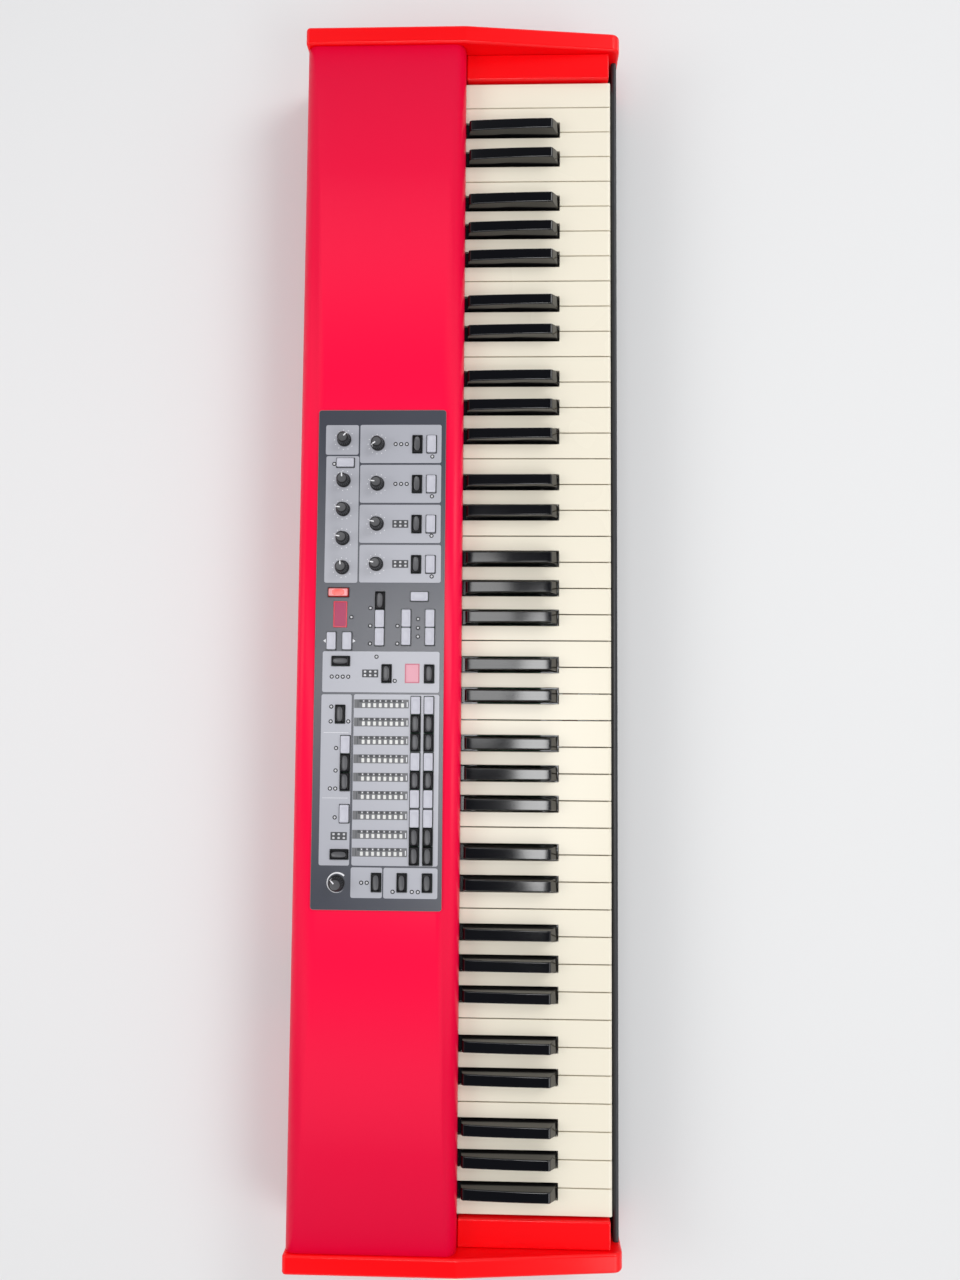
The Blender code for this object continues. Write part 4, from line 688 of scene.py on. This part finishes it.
def white_key(i):
    """Hollow waterfall key with a round lip and softened edges."""
    low = -KEYS_HALF + i * KEY_PITCH
    low, high = low + KEY_GAP / 2, low + KEY_PITCH - KEY_GAP / 2
    notch = KEY_FRONT + BLACK_START - BLACK_NOTCH_GAP
    half = BLACK_WIDTH / 2 + BLACK_SIDE_GAP
    rear = KEY_FRONT + KEY_LENGTH
    after, before = black_centre(i), black_centre(i - 1)
    outline = [(low, KEY_FRONT), (high, KEY_FRONT), (high, notch)]
    outline += [(high, rear)] if after is None else [(after - half, notch), (after - half, rear)]
    outline += [(low, rear)] if before is None else [(before + half, rear), (before + half, notch)]
    outline += [(low, notch)]
    bm = bmesh.new()
    weight = bm.edges.layers.float.new("bevel_weight_edge")
    top = bm.faces.new([bm.verts.new((x, y, KEY_TOP)) for x, y in outline])
    for edge in top.edges:
        at_front = all(vert.co.y < KEY_FRONT + CLOSE for vert in edge.verts)
        edge[weight] = 1.0 if at_front else KEY_EDGE / LIP_RADIUS
    for item in bmesh.ops.extrude_edge_only(bm, edges=top.edges[:])["geom"]:
        if isinstance(item, bmesh.types.BMVert):
            item.co.z = KEYS_LOW.z if item.co.y < KEY_FRONT + CLOSE else KEY_TOP - KEY_SKIRT
    for edge in bm.edges:
        if abs(edge.verts[0].co.z - edge.verts[1].co.z) > KEY_SKIRT / 2:
            edge[weight] = KEY_EDGE / LIP_RADIUS
    node = key_node(i, 0)
    obj = add_form(bm, f"white_key_{i + 1:02}", IVORY, BODY_OF[node], [node], degrees=60)
    bevel(obj, LIP_RADIUS, method="WEIGHT")
    thicken(obj, "Wall", KEY_WALL)


def black_key(i):
    """Black key with a sloped front, an arched top and sides that lean in."""
    x = black_centre(i)
    front = KEY_FRONT + BLACK_START
    crest = front + BLACK_SLOPE
    rear = front + KEY_LENGTH - BLACK_START
    cap_end = PANEL_FRONT - BLACK_END_GAP
    fall = BLACK_HEIGHT - BLACK_REAR_HEIGHT
    arch = []
    for step in range(1, ARCH_STEPS):
        along = step / ARCH_STEPS
        arch.append((crest + along * (cap_end - crest), KEY_TOP + BLACK_HEIGHT - fall * along**2))
    outline = rounded([
        (front, KEY_TOP - KEY_SKIRT),
        (front, KEY_TOP),
        (crest, KEY_TOP + BLACK_HEIGHT, BLACK_CREST),
        *arch,
        (cap_end, KEY_TOP + BLACK_REAR_HEIGHT, BLACK_REAR_ROUND),
        (cap_end, KEY_TOP - KEY_GAP),
        (rear, KEY_TOP - KEY_GAP),
        (rear, KEY_TOP - KEY_SKIRT),
    ])
    bm = bmesh.new()
    weight = bm.edges.layers.float.new("bevel_weight_edge")
    draft = (BLACK_WIDTH - BLACK_TOP_WIDTH) / 2 / BLACK_HEIGHT
    for vert in side_prism(bm, outline, x - BLACK_WIDTH / 2, x + BLACK_WIDTH / 2):
        above = vert.co.z - KEY_TOP
        if above > 0 and vert.co.y < PANEL_FRONT:
            vert.co.x += math.copysign(draft * above, x - vert.co.x)
    for edge in bm.edges:
        high = all(vert.co.z > KEY_TOP + CLOSE and vert.co.y < PANEL_FRONT for vert in edge.verts)
        along = (edge.verts[0].co.x - x) * (edge.verts[1].co.x - x) > 0
        edge[weight] = float(high and along)
    node = key_node(i, 1)
    obj = add_form(bm, f"black_key_{i + 1:02}", KEY_BLACK, BODY_OF[node], [node], degrees=30)
    bevel(obj, BLACK_EDGE, segments=3, method="WEIGHT")


def keyboard():
    for i in range(WHITE_KEYS):
        white_key(i)
        if black_centre(i) is not None:
            black_key(i)


# Case


def cover():
    """Folded cover with smooth bends, pierced where the CAD one is."""
    node = frame["nodes"]["top_shell"]
    low, high = SHELL_LOW, SHELL_HIGH
    lip = min(v.co.z for v in node.data.vertices if v.co.y < low.y + PANEL_HEM)
    path = rounded([
        (low.y + PANEL_HEM, lip),
        (low.y, lip),
        (low.y, high.z, PANEL_BEND),
        (high.y, high.z, PANEL_BEND),
        (high.y, low.z),
    ], steps=14, closed=False)
    bm = bmesh.new()
    rows = [[bm.verts.new((x, y, z)) for x in (low.x, high.x)] for y, z in path]
    for here, ahead in zip(rows, rows[1:]):
        bm.faces.new((here[0], here[1], ahead[1], ahead[0]))
    obj = add_form(bm, "case_cover", CASE_RED, "case", ["top_shell"], degrees=30)
    thicken(obj, "Sheet", SHEET)
    cut = obj.modifiers.new("Cuts", "BOOLEAN")
    cut.operation = "DIFFERENCE"
    cut.object = cutter_for_cover()
    cut.solver = "EXACT"


def cutter_for_cover():
    """Hidden form that takes the panel's opening and the ways to the sockets out of the cover."""
    bm = bmesh.new()
    low_x, high_x, low_y, high_y = grown(plan(OVERLAY_LOW, OVERLAY_HIGH), -PANEL_CUT)
    add_box(bm, (low_x, low_y, SHELL_HIGH.z - PANEL_CUT), (high_x, high_y, SHELL_HIGH.z + PANEL_CUT))
    middle, depth = REAR - SHEET / 2, CUT_DEPTH / 2
    for places, radius in ((JACKS_X, JACK_CUT), (DIN_X, DIN_CUT)):
        profile = [(0.0, depth), (radius, depth), (radius, -depth), (0.0, -depth)]
        for x in places:
            add_turned(bm, profile, (x, middle, SOCKET_Z), CUT_SIDES, rearward=True)
    module = [side + MODULE_SLACK for side in MODULE_SIZE]
    for x, (width, height) in ((USB_X, (USB_CUT, USB_CUT)), (INLET_X, module)):
        half = Vector((width / 2, depth, height / 2))
        add_box(bm, Vector((x, middle, SOCKET_Z)) - half, Vector((x, middle, SOCKET_Z)) + half)
    obj = bpy.data.objects.new("cover_cutter", finish_mesh(bm, "cover_cutter", smooth=False))
    bpy.context.scene.collection.objects.link(obj)
    obj.hide_render = True
    obj.hide_viewport = True
    return obj


def cheek(name):
    """End cheek with a shoulder over the keys and a round nose."""
    low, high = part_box("end_cheek_" + name)
    outline = rounded([
        (low.y, low.z, CHEEK_HEEL),
        (high.y, low.z, CHEEK_HEEL),
        (high.y, high.z, CHEEK_HEEL),
        (PANEL_FRONT, high.z, CHEEK_SHOULDER),
        (low.y, KEY_TOP + CHEEK_NOSE_RISE, CHEEK_NOSE),
    ], steps=10)
    bm = bmesh.new()
    side_prism(bm, outline, low.x, high.x)
    obj = add_form(bm, "cheek_" + name, LACQUER, "case", ["end_cheek_" + name])
    bevel(obj, CHEEK_EDGE)


def key_block(name):
    low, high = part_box("key_block_" + name)
    bm = bmesh.new()
    add_box(bm, low, high)
    obj = add_form(bm, "block_" + name, LACQUER, "case", ["key_block_" + name])
    bevel(obj, BLOCK_EDGE)


def rail():
    """Front rail with a shoulder on the tray's front wall."""
    low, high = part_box("front_rail")
    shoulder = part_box("bottom_tray")[1].z + RAIL_SLACK
    outline = rounded([
        (low.y, shoulder),
        (low.y + SHEET + RAIL_SLACK, shoulder),
        (low.y + SHEET + RAIL_SLACK, low.z),
        (high.y, low.z),
        (high.y, high.z, RAIL_EDGE),
        (low.y, high.z, RAIL_EDGE),
    ], steps=8)
    bm = bmesh.new()
    side_prism(bm, outline, low.x, high.x)
    add_form(bm, "rail", STEEL_BLACK, "case", ["front_rail"])


def case_parts():
    cover()
    for side in ("left", "right"):
        cheek(side)
        key_block(side)
    rail()


# Control panel


def cap_boxes(node):
    """Plan of each cap of a button set, from the tops of the CAD caps."""
    obj = frame["nodes"][node]
    place = obj.matrix_world
    points = [place @ vert.co for vert in obj.data.vertices]
    top = max(point.z for point in points)
    groups = []
    for face in obj.data.polygons:
        corners = [points[k] for k in face.vertices]
        if min(corner.z for corner in corners) < top - CLOSE:
            continue
        box = [pick(c[axis] for c in corners) for axis in (0, 1) for pick in (min, max)]
        near = [g for g in groups if box[0] < g[1] and g[0] < box[1] and box[2] < g[3] and g[2] < box[3]]
        for group in near:
            groups.remove(group)
            box = [pick(pair) for pick, pair in zip((min, max, min, max), zip(box, group))]
        groups.append(box)
    return [tuple(group) for group in groups]


def is_black(box):
    x = (box[0] + box[1]) / 2 / MM
    y = ((box[2] + box[3]) / 2 - KEY_FRONT) / MM
    return any(abs(x - place[0]) < CAP_MATCH and abs(y - place[1]) < CAP_MATCH for place in BLACK_CAPS)


def add_cap(bm, box, top, edge, dish, materials):
    """Button cap: a block with a soft edge and a dish in its top."""
    ring = even_ring(box, CAP_CORNER, OVERLAY_LOW.z - CAP_SINK)
    rings = [ring]
    rings += [even_ring(grown(box, -inset), CAP_CORNER * share, top - drop) for inset, share, drop in edge]
    rings += [oval_ring(ring, box, across, along, top - drop) for across, along, drop in dish]
    skin(bm, rings, materials)


def button_caps():
    """Every button cap, riding on the set that it belongs to: light grey, or black with a grey oval dish."""
    boxes = []
    for node in BUTTON_SETS:
        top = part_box(node)[1].z
        found = cap_boxes(node)
        boxes += found
        for black, colour, finishes in ((False, "grey", [CAP_GREY]), (True, "black", [CAP_BLACK, CAP_DISH])):
            wanted = [box for box in found if is_black(box) == black]
            if not wanted:
                continue
            bm = bmesh.new()
            for box in wanted:
                dish = GREY_DISH
                if black:
                    wide = box[1] - box[0] > box[3] - box[2]
                    x, y = OVAL_SHARES if wide else OVAL_SHARES[::-1]
                    dish = [(x * across, y * along, drop) for across, along, drop in BLACK_DISH]
                add_cap(bm, box, top, CAP_EDGE, dish, [0] * 4 + [int(black)] * len(dish))
            name = f"{node}_{colour}_caps"
            add_form(bm, name, finishes, BODY_OF[node], [node], degrees=50)
    return boxes


def store_cap():
    """Cap of the store button: its sides a darker red as painted shade, its rim a pink painted highlight and
    its oval a brighter red with a painted glow.
    """
    low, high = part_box("store_button")
    box = plan(low, high)
    bm = bmesh.new()
    add_cap(bm, box, high.z, STORE_SIDES, STORE_DISH, [0, 0, 1, 1, 2, 2])
    finishes = [STORE_SIDE_PAINTED_SHADE, STORE_RIM_PAINTED_HIGHLIGHT, STORE_RED_PAINTED_GLOW]
    add_form(bm, "store_cap", finishes, BODY_OF["store_button"], ["store_button"], degrees=50)
    return box


def cut_groups(boxes):
    """Boxes that meet side by side in one row, joined into one."""
    groups = []
    for box in sorted(boxes):
        for k, group in enumerate(groups):
            if abs(group[2] - box[2]) < ROW_MATCH and abs(box[0] - group[1]) < SIDE_MATCH:
                groups[k] = (group[0], box[1], min(group[2], box[2]), max(group[3], box[3]))
                break
        else:
            groups.append(tuple(box))
    return groups


def other_holes(display_gap, shaft_radius):
    """Outlines of the openings for the displays and the knobs' shafts."""
    holes = [rectangle(grown(plan(*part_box(node)), display_gap)) for node in DISPLAYS]
    return holes + [circle(*knob_centre(node), shaft_radius, HOLE_SIDES) for node in POINTERS]


def overlay(slots):
    """Overlay with round corners, pierced as the CAD one is, and a thin pale line round its edge."""
    box = plan(OVERLAY_LOW, OVERLAY_HIGH)
    edge = rectangle(box, OVERLAY_CORNER, steps=10)
    holes = [rectangle(slot, HOLE_CORNER, steps=3) for slot in cut_groups(slots)]
    outlines = [edge, *holes, *other_holes(DISPLAY_GAP, SHAFT_HOLE)]
    mesh = plate_mesh("overlay", outlines, OVERLAY_LOW.z, OVERLAY_HIGH.z)
    add_piece(mesh.name, mesh, OVERLAY, "case", ["control_overlay"])
    inner = rectangle(grown(box, -OVERLAY_LINE), OVERLAY_CORNER - OVERLAY_LINE, steps=10)
    printed("overlay_edge", [[edge, inner]], PRINT_MID, 0)


def printed(name, plates, material, level):
    """One piece of thin film on the overlay, for print and for the painted shadows round the caps, from the
    outlines of each of its plates.
    """
    low = OVERLAY_HIGH.z + FILM * level
    meshes = [plate_mesh(name, outlines, low, low + FILM) for outlines in plates]
    add_piece(name, joined_mesh(name, meshes), material, "case")


def film(name, boxes, material, level=2, corner=0.0):
    """Printed boxes, in millimetres."""
    printed(name, [[rectangle(panel_box(*box), corner * MM, steps=3)] for box in boxes], material, level)


def printed_fields(slots):
    """Light grey fields printed on the overlay, open round the caps, shafts and displays."""
    holes = [rectangle(slot, FIELD_HOLE_CORNER) for slot in slots] + other_holes(0.0, FIELD_HOLE)
    plates = []
    for field in FIELDS:
        box = panel_box(*field)
        inside = [hole for hole in holes if box[0] < hole[0][0] < box[1] and box[2] < hole[0][1] < box[3]]
        plates.append([rectangle(box, FIELD_CORNER * MM), *inside])
    printed("printed_fields", plates, FIELD, 0)


def drawbar_strips():
    """Column of lamp windows over each pair of drawbar buttons."""
    width, start, end = STRIP
    first, pitch, count = STRIP_LAMPS
    strips = [(x - width / 2, x + width / 2, start, end) for x in DRAWBARS]
    film("strips", strips, PRINT_MID, 1, corner=0.3)
    windows, teeth, digits = [], [], []
    for x in DRAWBARS:
        for k in range(count):
            y = first + k * pitch
            windows.append(around(x, y, STRIP_LAMP))
            digits.append(around(x, y, STRIP_DIGIT))
            teeth.append(around(x, y + pitch / 2, STRIP_TOOTH))
        teeth.append(around(x, end, STRIP_LINE))
        digits.append(around(x, start, STRIP_WORD))
    film("strip_teeth", teeth, DARK_PRINT_AND_SHADOW)
    film("strip_lamps", windows, STRIP_LENS, corner=0.5)
    film("strip_marks", digits, PRINT_WHITE)


def lamps():
    """Single lamps: a pale lens in a dark ring."""
    bm = bmesh.new()
    for place in LAMPS:
        centre = (*panel_point(*place), OVERLAY_HIGH.z + FILM)
        add_turned(bm, LAMP_DOME, centre, DOME_SIDES, material=1)
        add_turned(bm, LAMP_RIM, centre, RIM_SIDES)
    add_form(bm, "lamps", [LAMP_RING, LAMP_LENS], "case", degrees=40)


def lamp_blocks():
    """Dark blocks of two by three lamps."""
    width, depth = LAMP_BLOCK_SIZE
    plates, lenses = [], []
    for low_x, low_y in LAMP_BLOCKS:
        plates.append((low_x, low_x + width, low_y, low_y + depth))
        for share_x in BLOCK_COLUMNS:
            for share_y in BLOCK_ROWS:
                lenses.append(around(low_x + width * share_x, low_y + depth * share_y, BLOCK_LENS))
    film("lamp_block_plates", plates, DARK_PRINT_AND_SHADOW, 1, corner=0.4)
    film("lamp_block_lenses", lenses, LAMP_LENS, corner=0.6)


def marks():
    """Separator lines, the arrows by the two step buttons and the swelling ring round the master knob."""
    film("separators", [around(x, 0.0, SEPARATOR) for x in SEPARATORS], PRINT_WHITE, 1)
    plates = []
    for y, reach in ARROWS:
        left, right, middle = ARROW_CORNERS
        plates.append([[panel_point(left, y), panel_point(right, y), panel_point(middle, y + reach)]])
    x, y = knob_centre("master_knob")
    outer, inner = [], []
    for step in range(SWELL_STEPS + 1):
        share = step / SWELL_STEPS
        angle = math.radians(SWELL_START - SWELL_SWEEP * share)
        for radius, line in ((SWELL_INNER, inner), (SWELL_OUTER + SWELL_GROWTH * share, outer)):
            line.append((x + radius * math.cos(angle), y + radius * math.sin(angle)))
    plates.append([outer + inner[::-1]])
    printed("marks", plates, PRINT_WHITE, 0)


def painted_cap_shadows(slots):
    """Painted shadows round the caps: thin dark frames of film, a little wider towards the player and the low
    notes.
    """
    plates = []
    for box in cut_groups(slots):
        outer = (box[0] - SHADOW_NEAR, box[1] + SHADOW_FAR, box[2] - SHADOW_NEAR, box[3] + SHADOW_FAR)
        plates.append([rectangle(outer, FRAME_CORNER), rectangle(box, HOLE_CORNER, steps=3)])
    printed("painted_cap_shadows", plates, DARK_PRINT_AND_SHADOW, 1)


def knob_centre(node):
    low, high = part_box(node)
    return (low.x + high.x) / 2, (low.y + high.y) / 2


def ticks():
    """Dots round each knob, the widest gap towards the player."""
    plates = []
    for node in POINTERS:
        if node == "master_knob":
            continue
        x, y = knob_centre(node)
        for k in range(TICKS):
            angle = math.radians(90.0 + TICK_SWEEP * (k / (TICKS - 1) - 0.5))
            place = (x + TICK_CIRCLE * math.cos(angle), y + TICK_CIRCLE * math.sin(angle))
            plates.append([circle(*place, TICK_RADIUS, TICK_SIDES)])
    printed("ticks", plates, PRINT_WHITE, 1)


def knob(node):
    """Fluted knob with a grey top and a white pointer."""
    low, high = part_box(node)
    x, y = knob_centre(node)
    skirt = (high.x - low.x) / 2
    stem = skirt - SKIRT_STEP
    height = high.z - low.z
    steps = FLUTES * FLUTE_STEPS
    rings = []
    # Radius, height and flute depth of each ring, from the foot up
    for radius, z, depth in (
        (skirt - 0.0002, 0.0, 0.0),
        (skirt, 0.0003, 0.0),
        (skirt, 0.0014, 0.0),
        (skirt - 0.0003, 0.0018, 0.0),
        (stem, 0.0024, FLUTE_DEPTH),
        (stem - 0.0003, height - 0.0014, FLUTE_DEPTH),
        (stem - 0.0007, height - 0.0005, 0.00010),
        (stem - 0.0012, height, 0.0),
        (stem - 0.0015, height - 0.0001, 0.0),
        (stem - 0.0017, height - 0.0004, 0.0),
        (stem * 0.3, height - 0.0005, 0.0),
    ):
        ring = []
        for k in range(steps):
            angle = 2 * math.pi * k / steps
            here = radius - depth * (0.5 - 0.5 * math.cos(FLUTES * angle))
            ring.append(Vector((x + here * math.cos(angle), y + here * math.sin(angle), low.z + z)))
        rings.append(ring)
    bm = bmesh.new()
    skin(bm, rings, [0] * 9 + [1] * 2)
    looks = [KNOB_BLACK, KNOB_TOP]
    add_form(bm, node + "_turned", looks, BODY_OF[node], [node], degrees=45)

    bm = bmesh.new()
    reach = stem - POINTER_INSET
    base = height - POINTER_DEPTH
    add_box(bm, (reach * POINTER_START, -POINTER_HALF, base), (reach, POINTER_HALF, height + POINTER_RISE))
    add_box(bm, (reach - POINTER_SIDE_SINK, -POINTER_SIDE_HALF, height * POINTER_SIDE_START),
            (stem + POINTER_SIDE_RISE, POINTER_SIDE_HALF, base))
    way = POINTERS[node]
    turn = Matrix.Rotation(math.atan2(way[1], way[0]), 4, "Z")
    bmesh.ops.transform(bm, matrix=Matrix.Translation((x, y, low.z)) @ turn, verts=bm.verts)
    obj = add_form(bm, node + "_pointer", PRINT_WHITE, BODY_OF[node], [node], smooth=False)
    bevel(obj, POINTER_EDGE, segments=2)


def display(node, glass, rim):
    """Tinted window with a thin rim of its own colour."""
    low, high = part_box(node)
    box = plan(low, high)
    inner = rectangle(grown(box, -DISPLAY_RIM), DISPLAY_CORNER)
    mesh = plate_mesh(node + "_glass", [inner], low.z, high.z - DISPLAY_SINK)
    add_piece(mesh.name, mesh, glass, "case", [node])
    mesh = plate_mesh(node + "_rim", [rectangle(box, FRAME_CORNER), inner], low.z, high.z + DISPLAY_RISE)
    add_piece(mesh.name, mesh, rim, "case", [node])


def control_panel():
    slots = [grown(cap, SLIDE_GAP) for cap in (*button_caps(), store_cap())]
    overlay(slots)
    printed_fields(slots)
    drawbar_strips()
    lamps()
    lamp_blocks()
    marks()
    # Painted shadow lines round the caps
    painted_cap_shadows(slots)
    ticks()
    for node in POINTERS:
        knob(node)
    display("program_display", DISPLAY_RED, DISPLAY_RED_RIM)
    display("piano_display", DISPLAY_PINK, DISPLAY_PINK_RIM)


# Rear and underside


def rear_plate(x, outlines, near, far):
    """Flat plate stood up at the rear wall, its front side to the back."""
    mesh = plate_mesh("rear_plate", outlines, near, far)
    turn = Matrix(((-1, 0, 0, 0), (0, 0, 1, 0), (0, 1, 0, 0), (0, 0, 0, 1)))
    mesh.transform(Matrix.Translation((x, REAR, SOCKET_Z)) @ turn)
    return mesh


def round_plates(x, rows):
    meshes = []
    for radius, sides, bore, near, far in rows:
        outlines = [circle(0, 0, radius, sides)]
        if bore:
            outlines.append(circle(0, 0, bore, max(sides, BORE_SIDES)))
        meshes.append(rear_plate(x, outlines, near, far))
    return meshes


def sockets():
    """Nuts of the jacks, and the faces and linings of all the sockets."""
    nuts = [mesh for x in JACKS_X for mesh in round_plates(x, JACK_NUT)]
    add_piece("jack_nuts", joined_mesh("jack_nuts", nuts), STEEL, "case")

    faces = [mesh for x in JACKS_X for mesh in round_plates(x, JACK_BORE)]
    radius, sides, near, far = DIN_FACE
    for x in DIN_X:
        outlines = [circle(0, 0, radius, sides)]
        for angle in map(math.radians, DIN_ANGLES):
            outlines.append(circle(DIN_CIRCLE * math.cos(angle), DIN_CIRCLE * math.sin(angle), *DIN_HOLE))
        faces += [rear_plate(x, outlines, near, far), *round_plates(x, DIN_SHELL)]
    faces.append(rear_plate(USB_X, [rectangle(SQUARE_BOX)], *SQUARE_FLOOR))
    add_piece("socket_faces", joined_mesh("socket_faces", faces), SOCKET_BLACK, "case")

    outer = rectangle(grown(SQUARE_BOX, SQUARE_WALL), SQUARE_CORNER)
    inner = rectangle(grown(SQUARE_BOX, -SQUARE_LIP), SQUARE_CORNER - SQUARE_LIP)
    liner = rear_plate(USB_X, [outer, inner], SQUARE_FLOOR[1], SQUARE_RISE)
    add_piece("square_socket_liner", liner, STEEL, "case")
    bm = bmesh.new()
    wide, tall = TONGUE_HALF
    near, far = TONGUE_REACH
    add_box(bm, (USB_X - wide, REAR - near, SOCKET_Z - tall), (USB_X + wide, REAR - far, SOCKET_Z + tall))
    add_form(bm, "square_socket_tongue", CAP_GREY, "case", smooth=False)


def inlet_pins():
    bm = bmesh.new()
    middle = INLET_X - MODULE_SIZE[0] / 2 + INLET_MIDDLE
    wide, tall = PIN_HALF
    near, far = PIN_REACH
    for k, drop in PINS:
        x, z = middle + k * PIN_PITCH, SOCKET_Z + drop + INLET_RISE
        add_box(bm, (x - wide, REAR - near, z - tall), (x + wide, REAR - far, z + tall))
    obj = add_form(bm, "inlet_pins", STEEL, "case", smooth=False)
    bevel(obj, PIN_EDGE, segments=2)


def switch_marks():
    """Line and ring on the rocker of the mains switch."""
    bm = bmesh.new()
    outer = SWITCH_DEPTH / 2 - SWITCH_INSET
    add_box(bm, (-ON_HALF, outer - ON_REACH[0], ON_SPAN[0]), (ON_HALF, outer - ON_REACH[1], ON_SPAN[1]))
    add_turned(bm, OFF_RING, (0.0, outer - OFF_INSET, OFF_DROP), OFF_SIDES, rearward=True)
    lean = Matrix.Rotation(math.radians(SWITCH_LEAN), 4, "X")
    place = Matrix.Translation((SWITCH_X, REAR - SWITCH_DEPTH / 2, SOCKET_Z)) @ lean
    bmesh.ops.transform(bm, matrix=place, verts=bm.verts)
    add_form(bm, "switch_marks", PRINT_WHITE, BODY_OF["power_switch"], smooth=False)


def screws():
    """Socket-head screws of the rear wall and of the tray's underside."""
    bm = bmesh.new()
    tray_low, tray_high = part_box("bottom_tray")
    for x in REAR_SCREWS_X:
        add_turned(bm, SCREW, (x, REAR, REAR_SCREWS_Z), SCREW_SIDES, rearward=True)
    flipped = [(radius, -height) for radius, height in SCREW]
    for x in TRAY_SCREWS_X:
        for offset in TRAY_SCREWS_Y:
            y = (tray_low.y if offset > 0 else tray_high.y) + offset
            add_turned(bm, flipped, (x, y, tray_low.z), SCREW_SIDES)
    add_form(bm, "screws", STEEL_BLACK, "case", degrees=30)


def feet():
    """Round rubber feet with a soft lower edge and a recess for the screw."""
    for node in FEET:
        low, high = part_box(node)
        radius = (high.y - low.y) / 2
        height = high.z - low.z
        profile = [
            (0.0, height), (radius, height), (radius, 0.0022), (radius - 0.0004, 0.0010),
            (radius - 0.0014, 0.0), (0.0045, 0.0), (0.0040, 0.0005), (0.0040, height / 2), (0.0, height / 2),
        ]
        bm = bmesh.new()
        add_turned(bm, profile, (*knob_centre(node), low.z), FOOT_SIDES)
        add_form(bm, node + "_turned", RUBBER, "case", [node], degrees=40)


# Stage


def stage():
    """Camera at the photo's angle, pale floor, sky and soft lights."""
    link = bpy.context.scene.collection.objects.link
    camera_data = bpy.data.cameras.new("camera")
    camera_data.sensor_fit = "VERTICAL"
    camera_data.sensor_height = SENSOR_HEIGHT
    camera_data.lens = LENS
    camera = bpy.data.objects.new("camera", camera_data)
    camera.location = CAMERA_PLACE
    camera.rotation_euler = Euler([math.radians(angle) for angle in CAMERA_ANGLES])
    link(camera)
    bpy.context.scene.camera = camera

    bm = bmesh.new()
    bmesh.ops.create_grid(bm, x_segments=1, y_segments=1, size=FLOOR_HALF)
    floor = bpy.data.objects.new("floor", finish_mesh(bm, "floor", smooth=False))
    floor.data.materials.append(finish("floor_pale", (0.78, 0.78, 0.78), 0.8, (2.0, 0.01), (900.0, 4)))
    link(floor)

    world = bpy.data.worlds.new("world")
    bpy.context.scene.world = world
    world.use_nodes = True
    nodes, links = world.node_tree.nodes, world.node_tree.links
    sky = nodes["Background"]
    place = nodes.new("ShaderNodeTexCoord")
    split = nodes.new("ShaderNodeSeparateXYZ")
    shade = nodes.new("ShaderNodeValToRGB")
    steps = shade.color_ramp.elements
    steps[0].position, steps[0].color = SKY_BELOW
    steps[1].position, steps[1].color = SKY_ABOVE
    steps.new(SKY_LEVEL[0]).color = SKY_LEVEL[1]
    links.new(place.outputs["Generated"], split.inputs["Vector"])
    links.new(split.outputs["Z"], shade.inputs["Fac"])
    links.new(shade.outputs["Color"], sky.inputs["Color"])
    sky.inputs["Strength"].default_value = SKY_STRENGTH

    for name, place, size, power, turned in LIGHTS:
        light_data = bpy.data.lights.new(name, "AREA")
        light_data.shape = "ELLIPSE"
        light_data.size, light_data.size_y = size
        light_data.energy = power
        light = bpy.data.objects.new(name, light_data)
        light.location = place
        if turned:
            light.rotation_euler = (-Vector(place)).to_track_quat("-Z", "Y").to_euler()
        link(light)
    bpy.context.scene.view_settings.view_transform = "Standard"


stage()
case_parts()
keyboard()
control_panel()
sockets()
inlet_pins()
switch_marks()
screws()
feet()
